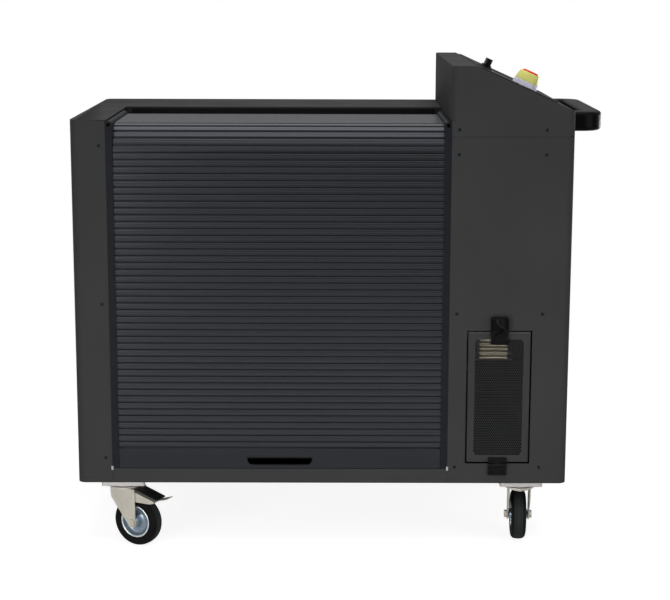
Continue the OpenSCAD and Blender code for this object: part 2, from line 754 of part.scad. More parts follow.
module estop_base() color("#c9c9d4") machine() on_slope(estop_s, estop_y) difference() {
    union() {
        rotate_extrude() polygon([[0, 0], [estop_r, 0], [estop_r, 3], [estop_r - 2, estop_base_h], [0, estop_base_h]]);
        translate([0, 0, -18]) cylinder(r = 11, h = 18 + eps);
    }
    translate([0, 0, -20]) cylinder(r = 7 + run_gap, h = 60);
}

module estop_shroud() color("#d8d24a") machine() on_slope(estop_s, estop_y) translate([0, 0, estop_base_h])
    rotate_extrude() {
        h = estop_h - estop_base_h;
        polygon([[button_r + 2.5, 0], [30, 0], [25.5, h - 1], [25, h], [button_r + 2.5, h]]);
    }

module estop_stem() color("#2a2a2a") machine() on_slope(estop_s, estop_y)
    translate([0, 0, -16]) cylinder(r = 7, h = 16 + estop_h - 12);

module estop_button() color("#c22b24") machine() on_slope(estop_s, estop_y) difference() {
    translate([0, 0, estop_h - 12]) rotate_extrude() {
        polygon([[0, 0], [10, 0], [14, 2], [button_r, 4], [button_r, 14], [button_r - 1.5, 15.5], [0, 16.6]]);
    }
    for (a = [0 : 120 : 240]) rotate(a) translate([11, -1, estop_h + 2.4]) cube([6, 2, 4]);
}

module selector_bezel() color(black) machine() on_slope(selector_s, selector_y) difference() {
    union() {
        cylinder(r1 = selector_r, r2 = selector_r - 2, h = 6);
        translate([0, 0, -22]) cylinder(r = 11, h = 22 + eps);
    }
    translate([0, 0, -10]) cylinder(r = 5 + run_gap, h = 30);
}

module selector_knob() color("#101010") machine() on_slope(selector_s, selector_y) {
    translate([0, 0, -9]) cylinder(r = 5, h = 15.5);
    translate([0, 0, 6 + gap]) cylinder(r = 13, h = 5);
    translate([-8, -15, 11]) linear_extrude(15.5) round_rect(16, 30, 4);
}

// Push handle ------------------------------------------------------------------------

module handle_section() translate([-handle_t / 2, -handle_h / 2]) round_rect(handle_t, handle_h, 10);

module push_handle() color(black) machine() difference() {
    x1 = body_w + handle_out - handle_t / 2;
    union() {
        for (y = bolt_sites) translate([body_w, y, handle_z]) rotate([90, 0, 90])
            linear_extrude(x1 - handle_bend - body_w) handle_section();
        along_y(bolt_sites[0] + handle_bend, bolt_sites[1] - bolt_sites[0] - 2 * handle_bend)
            translate([x1, handle_z]) handle_section();
        translate([x1 - handle_bend, bolt_sites[0] + handle_bend, handle_z]) rotate(-90)
            rotate_extrude(angle = 90) translate([handle_bend, 0]) handle_section();
        translate([x1 - handle_bend, bolt_sites[1] - handle_bend, handle_z])
            rotate_extrude(angle = 90) translate([handle_bend, 0]) handle_section();
    }
    for (y = bolt_sites, z = [handle_z - 10, handle_z + 10]) pin_x(body_w - 1, y, z, 4 + run_gap, 19);
}

module handle_bolts() color("#8a8a8a") machine()
    for (y = bolt_sites, z = [handle_z - 10, handle_z + 10]) {
        pin_x(body_w - sheet_t - eps, y, z, 4, 18 + sheet_t);
        translate([body_w - sheet_t - 5, y, z]) rotate([0, 90, 0]) cylinder(r = 7.5, h = 5, $fn = 6);
    }

module panel_screws() color("#101012") machine() {
    for (s = concat(front_screws, console_screws)) {
        pin_y(s[0], 0 - eps, s[1], 2, s[1] > seam_z ? sheet_t : sheet_t + 7);
        translate([s[0], 0, s[1]]) rotate([90, 0, 0]) cylinder(r1 = 4, r2 = 2.6, h = screw_head);
    }
    for (s = rear_screws) {
        pin_y(s[0], body_d - sheet_t - 7, s[1], 2, sheet_t + 7 + eps);
        translate([s[0], body_d, s[1]]) rotate([-90, 0, 0]) cylinder(r1 = 4, r2 = 2.6, h = screw_head);
    }
}

module mains_gland() color(black) machine() difference() {
    union() {
        pin_y(gland_x, body_d - 20, gland_z, 12, 20 + eps);
        translate([gland_x, body_d - sheet_t, gland_z]) rotate([90, 0, 0]) cylinder(r = 17, h = 6, $fn = 6);
        translate([gland_x, body_d, gland_z]) rotate([-90, 0, 0]) cylinder(r = 16, h = screw_head, $fn = 6);
    }
    pin_y(gland_x, body_d - 21, gland_z, 7, 30);
}

// Casters ----------------------------------------------------------------------------

module caster_plates() color(zinc) for (c = casters) machine() translate([c[0], c[1], 0]) {
    difference() {
        translate([-plate_w / 2, -plate_d / 2, -plate_t]) linear_extrude(plate_t) round_rect(plate_w, plate_d, 5);
        for (x = [-1, 1], y = [-1, 1])
            translate([x * (plate_w / 2 - 12.5), y * (plate_d / 2 - 12.5), -plate_t - 1]) cylinder(r = 5, h = plate_t + 2);
    }
    translate([0, 0, -plate_t - race_h]) cylinder(r = 30, h = race_h + eps);
    translate([0, 0, crown_top - 12]) cylinder(r = kingpin_r, h = 12 - crown_top - plate_t);
    translate([0, 0, crown_top - 10 - gap - 6]) cylinder(r = 9.5, h = 6, $fn = 6);
}

// Outline of a fork leg in the caster's own plane
module leg_shape() {
    top = crown_top - 3;
    polygon([[-27, top], [trail + 7, top], [trail + 8, axle_z + 2], [trail - 13, axle_z - 6], [-24, top - 26]]);
    translate([trail - 2, axle_z]) circle(13);
}

module fork(braked) {
    difference() {
        union() {
            translate([0, 0, crown_top - crown_t]) cylinder(r = crown_r, h = crown_t);
            translate([0, 0, crown_top - 10]) cylinder(r = 24, h = 10);
            for (side = [-1, 1]) translate([0, side * (fork_in + leg_t / 2) + leg_t / 2, 0]) rotate([90, 0, 0])
                linear_extrude(leg_t) leg_shape();
        }
        translate([0, 0, crown_top - 30]) cylinder(r = kingpin_r + run_gap, h = 40);
        pin_y(trail, -40, axle_z, axle_r, 80);
        if (braked) pin_y(lever_s, -40, lever_z, 3 + run_gap, 80);
    }
    // Axle bolt, with its head and its nut
    out = fork_in + leg_t + run_gap;
    pin_y(trail, -out - 4, axle_z, axle_r - run_gap, 2 * out + 8);
    translate([trail, -out, axle_z]) rotate([90, 0, 0]) cylinder(r = 10, h = 7, $fn = 6);
    translate([trail, out, axle_z]) rotate([-90, 0, 0]) cylinder(r = 10, h = 7, $fn = 6);
}

// Half outline of the pressed rim, drawn as radius and width
module rim_shape() {
    w = tyre_w / 2 - 5;
    polygon([
        [axle_r, -fork_in + 1], [13, -fork_in + 1], [14, -w + 4], [rim_r - 8, -3], [rim_r - 4, -w - 2],
        [rim_r, -w - 2], [rim_r, w + 2], [rim_r - 4, w + 2], [rim_r - 8, 3], [14, w - 4],
        [13, fork_in - 1], [axle_r, fork_in - 1]
    ]);
}

// Half outline of the tyre: flat sides and a crowned tread
module tyre_shape() {
    r = 9;
    translate([rim_r, -tyre_w / 2 + 2]) square([6, tyre_w - 4]);
    translate([rim_r + 2, -tyre_w / 2]) square([wheel_d / 2 - rim_r - 2 - r, tyre_w]);
    translate([rim_r + 2, -tyre_w / 2 + r]) square([wheel_d / 2 - rim_r - 2, tyre_w - 2 * r]);
    for (y = [-tyre_w / 2 + r, tyre_w / 2 - r]) translate([wheel_d / 2 - r, y]) circle(r);
}

module at_wheel() translate([trail, 0, axle_z]) rotate([90, 0, 0]) children();

module lever() {
    difference() {
        rotate([90, 0, 0]) translate([0, 0, -lever_w / 2]) linear_extrude(lever_w)
            polygon([[14, -30], [22, -28.3], [44, -28.1], [98, -44.6], [97, -50], [84, -53], [40, -53], [14, -42]]);
        rotate([90, 0, 0]) translate([0, 0, 2 - lever_w / 2]) linear_extrude(lever_w - 4)
            polygon([[13, -32.2], [22, -30.3], [43.5, -30.1], [92, -45.1], [100, -60], [10, -60]]);
        translate([0, 0, -40]) cylinder(r = 13, h = 20);
    }
    rotate([90, 0, 0]) translate([0, 0, -pedal_tip_w / 2]) linear_extrude(pedal_tip_w)
        polygon([[92, -43.9], [99, -46.4], [pedal_tip, -37], [pedal_tip, -35], [99, -44.9]]);
    pin_y(lever_s, -fork_in - leg_t, lever_z, 3, 2 * (fork_in + leg_t));
}

module pedal() rotate([90, 0, 0]) translate([0, 0, -23]) linear_extrude(46)
    polygon([[40, -27.9], [44, -27.9], [98, -44.4], [104, -43], [104, -39.8], [99, -38.3], [48, -22.3], [40, -23.8]]);

module caster_fl_fork() color(zinc) caster_frame(fl) fork(true);
module caster_fl_rim() color(zinc_blue) caster_frame(fl) at_wheel() rotate_extrude() rim_shape();
module caster_fl_tyre() color(black) caster_frame(fl) at_wheel() rotate_extrude() tyre_shape();
module caster_fl_lever() color(zinc) caster_frame(fl) lever();
module caster_fl_pedal() color(black) caster_frame(fl) pedal();
module caster_fr_fork() color(zinc) caster_frame(fr) fork(false);
module caster_fr_rim() color(zinc_blue) caster_frame(fr) at_wheel() rotate_extrude() rim_shape();
module caster_fr_tyre() color(black) caster_frame(fr) at_wheel() rotate_extrude() tyre_shape();
module caster_rl_fork() color(zinc) caster_frame(rl) fork(true);
module caster_rl_rim() color(zinc_blue) caster_frame(rl) at_wheel() rotate_extrude() rim_shape();
module caster_rl_tyre() color(black) caster_frame(rl) at_wheel() rotate_extrude() tyre_shape();
module caster_rl_lever() color(zinc) caster_frame(rl) lever();
module caster_rl_pedal() color(black) caster_frame(rl) pedal();
module caster_rr_fork() color(zinc) caster_frame(rr) fork(false);
module caster_rr_rim() color(zinc_blue) caster_frame(rr) at_wheel() rotate_extrude() rim_shape();
module caster_rr_tyre() color(black) caster_frame(rr) at_wheel() rotate_extrude() tyre_shape();

base_frame();
floor_pan();
left_panel();
right_panel();
console_housing();
top_deck();
deck_seal();
rear_panel();
sill();
bay_liner();
guide_left();
guide_right();
corner_guides();
guide_clips();
curtain_front();
curtain_upper();
bottom_rail();
finger_pull();
filter_door();
hinge_lower_leaf();
hinge_upper_leaf();
hinge_pin();
latch_body();
latch_knob();
condenser();
finned_cooler();
fan_frame();
fan_rotor();
water_tank();
compressor();
laser_source();
power_supply();
display();
estop_base();
estop_shroud();
estop_stem();
estop_button();
selector_bezel();
selector_knob();
push_handle();
handle_bolts();
panel_screws();
mains_gland();
caster_plates();
caster_fl_fork();
caster_fl_rim();
caster_fl_tyre();
caster_fl_lever();
caster_fl_pedal();
caster_fr_fork();
caster_fr_rim();
caster_fr_tyre();
caster_rl_fork();
caster_rl_rim();
caster_rl_tyre();
caster_rl_lever();
caster_rl_pedal();
caster_rr_fork();
caster_rr_rim();
caster_rr_tyre();
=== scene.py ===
"""Finishes and fine pieces of a laser cleaning machine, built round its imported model.

Laid out as an add-on: settings, one operator for each piece or group of like pieces, one for the
stage, and a sidebar panel. Run as a script, it makes everything in order. Metres, +Z up, the front
towards -Y.
"""

import json
import math

import bmesh
import bpy
import numpy as np
from bpy.props import FloatProperty, FloatVectorProperty, PointerProperty
from mathutils import Matrix, Vector
from mathutils.geometry import delaunay_2d_cdt


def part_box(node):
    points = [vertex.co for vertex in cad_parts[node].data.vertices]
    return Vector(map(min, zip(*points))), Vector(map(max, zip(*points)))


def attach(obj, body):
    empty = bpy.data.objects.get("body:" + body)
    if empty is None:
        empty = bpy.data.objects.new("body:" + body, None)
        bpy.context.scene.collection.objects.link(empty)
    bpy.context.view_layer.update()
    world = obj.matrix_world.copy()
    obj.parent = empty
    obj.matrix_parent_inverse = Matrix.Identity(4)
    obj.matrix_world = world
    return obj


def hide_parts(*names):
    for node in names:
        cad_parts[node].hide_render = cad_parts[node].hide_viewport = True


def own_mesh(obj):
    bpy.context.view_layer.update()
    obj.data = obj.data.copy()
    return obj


bl_info = {
    "name": "Laser cleaning machine",
    "version": (1, 0, 0),
    "blender": (4, 5, 0),
    "location": "View3D > Sidebar > Machine",
    "description": "Finishes and fine pieces of a laser cleaning machine on casters",
    "category": "Object",
}

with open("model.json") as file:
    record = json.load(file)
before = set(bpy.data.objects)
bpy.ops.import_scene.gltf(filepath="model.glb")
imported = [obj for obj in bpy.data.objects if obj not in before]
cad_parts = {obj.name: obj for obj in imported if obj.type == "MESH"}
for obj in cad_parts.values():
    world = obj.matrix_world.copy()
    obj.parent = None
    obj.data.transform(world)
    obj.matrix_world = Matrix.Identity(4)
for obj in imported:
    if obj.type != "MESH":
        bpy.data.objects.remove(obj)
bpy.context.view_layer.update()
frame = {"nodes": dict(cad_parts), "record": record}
MM = 0.001
TAU = 2 * math.pi


def linear(code):
    """sRGB hex to linear red, green, blue and alpha."""
    parts = [int(code[i:i + 2], 16) / 255 for i in (1, 3, 5)]
    return tuple(c / 12.92 if c <= 0.04045 else ((c + 0.055) / 1.055) ** 2.4 for c in parts) + (1.0,)


def shade(tone, factor):
    """A lighter or darker version of a linear colour."""
    return tuple(min(1.0, c * factor) for c in tone[:3]) + (1.0,)


WHITE = (1.0, 1.0, 1.0, 1.0)


# Settings ---------------------------------------------------------------------------


def colour(name, description, code):
    """A setting for a colour."""
    return FloatVectorProperty(
        name=name, description=description, default=linear(code), subtype="COLOR", size=4, min=0, max=1
    )


def length(name, description, millimetres, low, high):
    """A setting for a size."""
    return FloatProperty(
        name=name, description=description, default=millimetres * MM, min=low * MM, max=high * MM,
        unit="LENGTH", subtype="DISTANCE", precision=4,
    )


def power(name, description, watts):
    """A setting for a lamp."""
    return FloatProperty(name=name, description=description, default=watts, min=0, unit="POWER")


def share(name, description, part):
    """A setting from 0 to 1."""
    return FloatProperty(
        name=name, description=description, default=part, min=0, max=1, subtype="FACTOR"
    )


class MachineFinishes(bpy.types.PropertyGroup):
    """Colours of the machine's finishes."""

    cabinet: colour("Cabinet", "Powder coat of the cabinet's panels", "#353535")
    slat: colour("Slats", "Lacquer of the shutter's slats", "#1d1e1e")
    guide: colour("Guides", "Anodised guide profiles", "#1b1d20")
    inner: colour("Inner sheet", "Paint of the inner sheets and the frame", "#34363a")
    moulded: colour("Mouldings", "Black moulded pieces", "#080808")
    grip: colour("Handle", "Black moulded handle", "#070505")
    zinc: colour("Zinc", "Yellowish zinc plating of the casters", "#c8c3b7")
    zinc_plate: colour("Plates", "Cooler zinc plating of the casters' mounting plates", "#c0bcbc")
    zinc_blue: colour("Blue zinc", "Blue zinc plating of the wheel rims", "#8796a3")
    tyre: colour("Tyres", "Black rubber of the tyres", "#0a0a0a")
    shroud: colour("Shroud", "Yellow of the emergency stop's shroud", "#fff98a")
    head: colour("Head", "Red of the emergency stop's head", "#ee3222")
    base: colour("Base", "Pale base of the emergency stop", "#dfdcf2")
    fins: colour("Fins", "Lacquered fins of the small cooler", "#fff3d6")


class ShutterSettings(bpy.types.PropertyGroup):
    """The roller shutter's slats."""

    pitch: length("Pitch", "Distance from one slat to the next", 16.5, 12, 24)
    bow: length("Bow", "How far a slat's face stands out in its middle", 0.35, 0, 1)
    edge: length("Edge", "Radius of a slat's long edges", 2.8, 0.5, 3)


class DoorSettings(bpy.types.PropertyGroup):
    """The perforated sheet of the filter door."""

    pitch: length("Hole pitch", "Distance between the middles of the holes", 5.0, 4, 16)
    hole: length("Hole", "Diameter of a hole", 4.3, 1.5, 10)
    field_width: length("Field width", "Width of the perforated field", 120, 60, 140)
    field_height: length("Field height", "Height of the perforated field", 294, 100, 310)
    field_corner: length("Field corner", "Radius of the field's corners", 14, 0, 50)


class CasterSettings(bpy.types.PropertyGroup):
    """The wheels of the casters."""

    tread_radius: length("Tread crown", "Radius of the tyre's shoulders", 12, 3, 15)
    rim_lip: length("Rim lip", "Width of the rim's bright edge", 3.2, 1, 6)


class StudioSettings(bpy.types.PropertyGroup):
    """Floor, light and camera."""

    lens: FloatProperty(
        name="Lens", description="Focal length on a 36 mm sensor", default=91.2, min=20, max=200,
        unit="CAMERA",
    )
    key: power("Key light", "Power of the large lamp at the front left", 58)
    fill: power("Fill light", "Power of the lamp at the front right", 30)
    low: power("Low light", "Power of the long lamp on the floor in front", 23)
    top: power("Top light", "Power of the wide lamp overhead", 31)
    rear: power("Rear light", "Power of each of the two low lamps behind", 38)
    sky: share("Sky", "Strength of the surrounding light", 0.16)
    near: share("Near floor", "How white gloss sees the floor by the machine", 0.4)
    room: share("Room", "How white gloss sees the room in front of the machine", 0.03)
    front: share("Front", "How white gloss sees the wall in front of the machine", 0.85)
    behind: share("Behind", "How white gloss sees the foot of the sheet behind the machine", 0.03)
    lift: share("Floor lift", "White added to the floor by the machine where it is looked at", 0.86)
    floor: colour("Floor", "Pale studio floor", "#bfbfbe")


def settings():
    """The settings of the open scene."""
    return bpy.context.scene.machine


class MachineSettings(bpy.types.PropertyGroup):
    """All settings of the machine."""

    finishes: PointerProperty(type=MachineFinishes)
    shutter: PointerProperty(type=ShutterSettings)
    door: PointerProperty(type=DoorSettings)
    casters: PointerProperty(type=CasterSettings)
    studio: PointerProperty(type=StudioSettings)


# Meshes -----------------------------------------------------------------------------

ORIGIN = np.array(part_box("left_panel")[0])     # the cabinet's front left corner at its bottom edge
CABINET_W, CABINET_D, CABINET_H = 1200, 700, 890
COLUMN_X = 907                                 # left edge of the equipment column
SLOPE_X, SLOPE_Z, SLOPE_FOOT = 962, 1019, 912  # upper end of the console's slope, height of its foot
SLOPE = math.atan((SLOPE_Z - SLOPE_FOOT) / (CABINET_W - SLOPE_X))
CASTERS = {
    "fl": (109, 47.5, -27), "fr": (1091, 47.5, 87), "rl": (109, 652.5, -98), "rr": (1091, 652.5, -82),
}
TRAIL, AXLE_Z = 38, -105.5                     # the wheel's axle from its kingpin
WHEEL_R, RIM_R, TYRE_W = 62.5, 41, 38
CREASE = 30                                    # the least angle of an edge that is rounded
BODIES = {n: body for body, nodes in frame["record"]["behaviour"]["bodies"].items() for n in nodes}


def placed(points):
    """Points in millimetres from the cabinet's corner, as points of the frame in metres."""
    return ORIGIN + MM * np.asarray(points, float)


def on_slope(down, across, out=0.0):
    """A point of the console's slope: x = SLOPE_X + down * cos(SLOPE) + out * sin(SLOPE), y = across,
    z = SLOPE_Z - down * sin(SLOPE) + out * cos(SLOPE)."""
    c, s = math.cos(SLOPE), math.sin(SLOPE)
    return (SLOPE_X + down * c + out * s, across, SLOPE_Z - down * s + out * c)


def in_caster(name, points):
    """Points of a caster's own frame, turned by its heading about its kingpin."""
    x, y, heading = CASTERS[name]
    c, s = math.cos(math.radians(heading)), math.sin(math.radians(heading))
    points = np.asarray(points, float)
    return np.stack([
        x + c * points[..., 0] - s * points[..., 1], y + s * points[..., 0] + c * points[..., 1],
        points[..., 2],
    ], -1)


def in_scene(name, data):
    """A new object in the scene."""
    made = bpy.data.objects.new(name, data)
    bpy.context.scene.collection.objects.link(made)
    return made


def points_of(mesh):
    """The points of a mesh, as rows of an array."""
    points = np.empty(3 * len(mesh.vertices))
    mesh.vertices.foreach_get("co", points)
    return points.reshape(-1, 3)


def mesh_piece(name, points, faces, node, sharp=35, merge=False, **more):
    """A new piece from points in millimetres and faces, with what lies together merged if merge is set."""
    mesh = bpy.data.meshes.new(name)
    mesh.from_pydata(placed(points).reshape(-1, 3).tolist(), [], [list(f) for f in faces])
    mesh.validate()
    mesh.update()
    if merge:
        merged(mesh)
    return finish_piece(name, mesh, node, sharp, **more)


def finish_piece(name, mesh, node, sharp=35, instead=True, slot=None, finish=None):
    """Gives a mesh its object and shading. The piece rides on the body of a CAD node, and takes its slot
    and the slot's material unless others are given. It stands for the node if instead is set."""
    slot = slot or slot_of(node)
    work = bmesh.new()
    work.from_mesh(mesh)
    bmesh.ops.recalc_face_normals(work, faces=work.faces)
    work.to_mesh(mesh)
    work.free()
    mesh.materials.clear()
    mesh.materials.append(materials[finish or slot])
    mesh.polygons.foreach_set("use_smooth", [True] * len(mesh.polygons))
    mesh.set_sharp_from_angle(angle=math.radians(sharp))
    piece = in_scene(name, mesh)
    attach(piece, BODIES[node])
    if instead:
        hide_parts(node)
    return piece


def grid_faces(rows, columns, close_rows=False, close_columns=False, start=0):
    """Quads between neighbouring points of a grid of rows by columns, as one array."""
    r = np.arange(rows if close_rows else rows - 1)
    c = np.arange(columns if close_columns else columns - 1)
    r, c = (a.ravel() for a in np.meshgrid(r, c, indexing="ij"))
    r1, c1 = (r + 1) % rows, (c + 1) % columns
    return start + np.stack([r * columns + c, r * columns + c1, r1 * columns + c1, r1 * columns + c], 1)


def joined(shells):
    """One list of points and one of faces from several (points, faces) pairs."""
    points, faces, start = [], [], 0
    for p, f in shells:
        p = np.asarray(p, float).reshape(-1, 3)
        points.append(p)
        faces += [tuple(int(i) + start for i in face) for face in f]
        start += len(p)
    return np.concatenate(points), faces


def prism(outline, axis, low, high):
    """An outline in the plane square to an axis, drawn from low to high along it. The outline's
    coordinates are those of the other two axes, in their order."""
    outline = np.asarray(outline, float)
    n = len(outline)
    rings = [np.insert(outline, axis, at, axis=1) for at in (low, high)]
    faces = grid_faces(2, n, False, True).tolist() + [tuple(range(n)), tuple(range(n, 2 * n))]
    return np.concatenate(rings), faces


def block(low, high):
    """A box between two corners."""
    (x0, y0, z0), (x1, y1, z1) = low, high
    return prism([(y0, z0), (y1, z0), (y1, z1), (y0, z1)], 0, x0, x1)


def turned(profile, centre, axis, steps=96):
    """A closed outline of (radius, height) pairs, turned round an axis: point = centre + height * w
    + radius * (cos(a) * u + sin(a) * v), for a in equal steps and u, v square to the axis w. Points
    on the axis are left to merge."""
    w = Vector(axis).normalized()
    u = w.orthogonal().normalized()
    v = np.array(w.cross(u))
    a = np.linspace(0, TAU, steps, endpoint=False)[:, None, None]
    profile = np.asarray(profile, float)
    radius, height = profile[None, :, 0, None], profile[None, :, 1, None]
    points = np.array(centre) + height * np.array(w) + radius * (np.cos(a) * np.array(u) + np.sin(a) * v)
    return points.reshape(-1, 3), grid_faces(steps, len(profile), True, True)


def merged(mesh, distance=1e-6):
    """Merges points that lie on each other, and drops faces left without area."""
    work = bmesh.new()
    work.from_mesh(mesh)
    bmesh.ops.remove_doubles(work, verts=work.verts, dist=distance)
    bmesh.ops.dissolve_degenerate(work, edges=work.edges, dist=distance)
    bmesh.ops.recalc_face_normals(work, faces=work.faces)
    work.to_mesh(mesh)
    work.free()


def turned_piece(name, profile, centre, axis, node, steps=96, sharp=30):
    """A turned piece, which stands for its node."""
    return mesh_piece(name, *turned(profile, centre, axis, steps), node, sharp, merge=True)


def triangulated(points, edges, kept):
    """Triangles between points in a plane that keep the edges, with the points they use. kept is 0 for
    the whole hull, and 1 for what lies inside the edges."""
    made, _, triangles, *_ = delaunay_2d_cdt([Vector(p) for p in points], edges, [], kept, 1e-5)
    return np.array(made), np.array(triangles)


def arc(middle, radius, start, end, count):
    """Points round a circle, from one angle in degrees to another."""
    a = np.radians(np.linspace(start, end, count))
    return np.stack([middle[0] + radius * np.cos(a), middle[1] + radius * np.sin(a)], 1)


def rounded(corners, radii, steps=5):
    """A closed outline with arcs at its corners: each corner p becomes an arc from p + t * a to
    p + t * b, where a and b point to its neighbours and t = radius / tan(half the corner's angle)."""
    corners = [np.array(c, float) for c in corners]
    outline = []
    for i, p in enumerate(corners):
        r = radii[i] if hasattr(radii, "__len__") else radii
        a, b = corners[i - 1] - p, corners[(i + 1) % len(corners)] - p
        a, b = a / np.linalg.norm(a), b / np.linalg.norm(b)
        half = math.acos(max(-1, min(1, float(a @ b)))) / 2
        if r <= 0 or half > math.radians(89):
            outline.append(p)
            continue
        middle = (a + b) / np.linalg.norm(a + b) * r / math.sin(half)
        first, last = a * r / math.tan(half) - middle, b * r / math.tan(half) - middle
        turn = math.atan2(first[0] * last[1] - first[1] * last[0], float(first @ last))
        t = turn * np.linspace(0, 1, steps + 1)[:, None]
        outline.extend(p + middle + np.cos(t) * first + np.sin(t) * np.array([-first[1], first[0]]))
    return np.array(outline)


def softened(nodes, radius, segments, shortest, weigh=None, finish=None):
    """Copies of CAD nodes with their sharp edges rounded to a radius in millimetres, which stand for
    them. weigh(middle, normals) gives the share of the radius that an edge takes, from its middle in
    millimetres and its two faces' normals. Edges shorter than shortest stay as they are."""
    for node in [nodes] if isinstance(nodes, str) else nodes:
        mesh = frame["nodes"][node].data.copy()
        work = bmesh.new()
        work.from_mesh(mesh)
        bmesh.ops.remove_doubles(work, verts=work.verts, dist=1e-5)
        bmesh.ops.dissolve_limit(
            work, angle_limit=math.radians(0.3), verts=work.verts, edges=work.edges
        )
        layer = work.edges.layers.float.new("bevel_weight_edge")
        for edge in work.edges:
            flat = len(edge.link_faces) != 2 or edge.calc_face_angle(0) < math.radians(CREASE)
            if flat or edge.calc_length() < shortest * MM:
                continue
            edge[layer] = 1.0
            if weigh:
                middle = (np.array(edge.verts[0].co + edge.verts[1].co) / 2 - ORIGIN) / MM
                edge[layer] = weigh(middle, [np.array(f.normal) for f in edge.link_faces])
        work.to_mesh(mesh)
        work.free()
        piece = finish_piece(node + "_finish", mesh, node, CREASE, finish=finish)
        crisp, shares = (np.zeros(len(mesh.edges), kind) for kind in (bool, np.float32))
        mesh.attributes["sharp_edge"].data.foreach_get("value", crisp)
        mesh.attributes["bevel_weight_edge"].data.foreach_get("value", shares)
        mesh.attributes["sharp_edge"].data.foreach_set("value", crisp & (shares == 0))
        bevel = piece.modifiers.new("Rounded edges", "BEVEL")
        bevel.width = radius * MM
        bevel.segments = segments
        bevel.limit_method = "WEIGHT"
        bevel.use_clamp_overlap = False
        bevel.harden_normals = False
        piece.modifiers.new("Even shading", "WEIGHTED_NORMAL").keep_sharp = True


def mark(piece, values):
    """Gives the points of a piece a value from 0 to 1 that its material reads as "mark"."""
    piece.data.attributes.new("mark", "FLOAT", "POINT").data.foreach_set("value", values)


def convex(middle, normals, centre):
    """Whether both faces of an edge look away from a centre, as on the outside of a casing."""
    return all(float((middle - centre) @ n) > 0 for n in normals)


# Materials --------------------------------------------------------------------------


def add(tree, kind, inputs=(), **values):
    """Adds a node with its settings. Its inputs, by name or in their order, are numbers, colours, or the
    sockets or nodes that feed them."""
    made = tree.nodes.new(kind)
    for name, value in values.items():
        setattr(made, name, value)
    for name, value in inputs.items() if isinstance(inputs, dict) else enumerate(inputs):
        if isinstance(value, bpy.types.Node):
            value = value.outputs[0]
        if isinstance(value, bpy.types.NodeSocket):
            tree.links.new(value, made.inputs[name])
        else:
            made.inputs[name].default_value = value
    return made


def emptied(owner):
    """The node tree of a material or a world, with nothing in it."""
    owner.use_nodes = True
    owner.node_tree.nodes.clear()
    return owner.node_tree


def material(name, kind, *values):
    """A material of a kind: one of the functions below, whose patterns feed one surface shader."""
    made = bpy.data.materials.new(name)
    tree = emptied(made)
    shader = add(tree, "ShaderNodeBsdfPrincipled", kind(tree, *values))
    add(tree, "ShaderNodeOutputMaterial", (shader,))
    return made


def patches(tree, size, detail, stretch):
    """Noise with patches of a size in millimetres, stretched along the axes."""
    place = add(tree, "ShaderNodeTexCoord").outputs["Object"]
    scale = [1 / (MM * size * s) for s in stretch]
    scaled = add(tree, "ShaderNodeMapping", {"Vector": place, "Scale": scale})
    return add(tree, "ShaderNodeTexNoise", {"Vector": scaled, "Scale": 1.0, "Detail": detail})


def clouded(tree, tone, low, high, size, detail=3.0, stretch=(1, 1, 1)):
    """A colour that drifts over patches, from low times a tone where the noise is 0.3 to high times it
    where the noise is 0.7."""
    ramp = add(tree, "ShaderNodeValToRGB", (patches(tree, size, detail, stretch),))
    for element, position, factor in zip(ramp.color_ramp.elements, (0.3, 0.7), (low, high)):
        element.position = position
        element.color = shade(tone, factor)
    return ramp


def uneven(tree, low, high, size, detail=2.0, stretch=(1, 1, 1)):
    """A number that drifts over patches, from low where the noise is 0.3 to high where it is 0.7."""
    return add(tree, "ShaderNodeMapRange", (patches(tree, size, detail, stretch), 0.3, 0.7, low, high))


def grained(tree, depth, size, detail=2.0, stretch=(1, 1, 1)):
    """A relief of a depth in millimetres."""
    height = patches(tree, size, detail, stretch)
    return add(tree, "ShaderNodeBump", {"Height": height, "Strength": 1.0, "Distance": depth * MM})


def by_mark(tree, plain, marked):
    """A number or colour that goes from plain to marked as the mark goes from 0 to 1, and plain itself
    if marked is None."""
    if marked is None:
        return plain
    reach = add(tree, "ShaderNodeAttribute", attribute_name="mark").outputs["Fac"]
    if isinstance(marked, float):
        return add(tree, "ShaderNodeMapRange", (reach, 0.0, 1.0, plain, marked))
    return add(tree, "ShaderNodeMix", {0: reach, 6: plain, 7: marked}, data_type="RGBA").outputs[2]


COOL = linear("#e4ebff")                       # the bluish gloss of the dark lacquers


def powder_coat(tree, tone, rough=(0.66, 0.76), polish=None):
    """Polyester powder, sprayed and baked: an even satin skin whose orange peel breaks up the gloss.
    The real peel is about 1 mm wide, and it is drawn 4 mm wide, because finer wouldn't show. polish is
    the gloss of a bend that hands rub."""
    return {
        "Base Color": clouded(tree, tone, 0.95, 1.06, 260),
        "Roughness": uneven(tree, *rough, 90, 3),
        "Specular IOR Level": by_mark(tree, 0.09, polish),
        "Specular Tint": COOL,
        "Normal": grained(tree, 0.035, 4, 1),
    }


def slat_lacquer(tree, tone, shine=0.5, joint_gloss_and_shade=None):
    """Lacquered aluminium, roll-formed and coil-coated: satin, with fine lines along the slats. The value
    given for the joints is their duller gloss; there the colour is painted darker too, a painted shade
    between the slats."""
    along = (150, 1, 1)
    face = clouded(tree, tone, 0.93, 1.07, 40, 3, (8, 1, 1))
    return {
        "Base Color": by_mark(tree, face, joint_gloss_and_shade and shade(tone, 0.9)),
        "Roughness": uneven(tree, 0.17, 0.26, 1.6, 2, along),
        "Specular IOR Level": by_mark(tree, shine, joint_gloss_and_shade),
        "Specular Tint": COOL,
        "Normal": grained(tree, 0.01, 1.6, 2, along),
    }


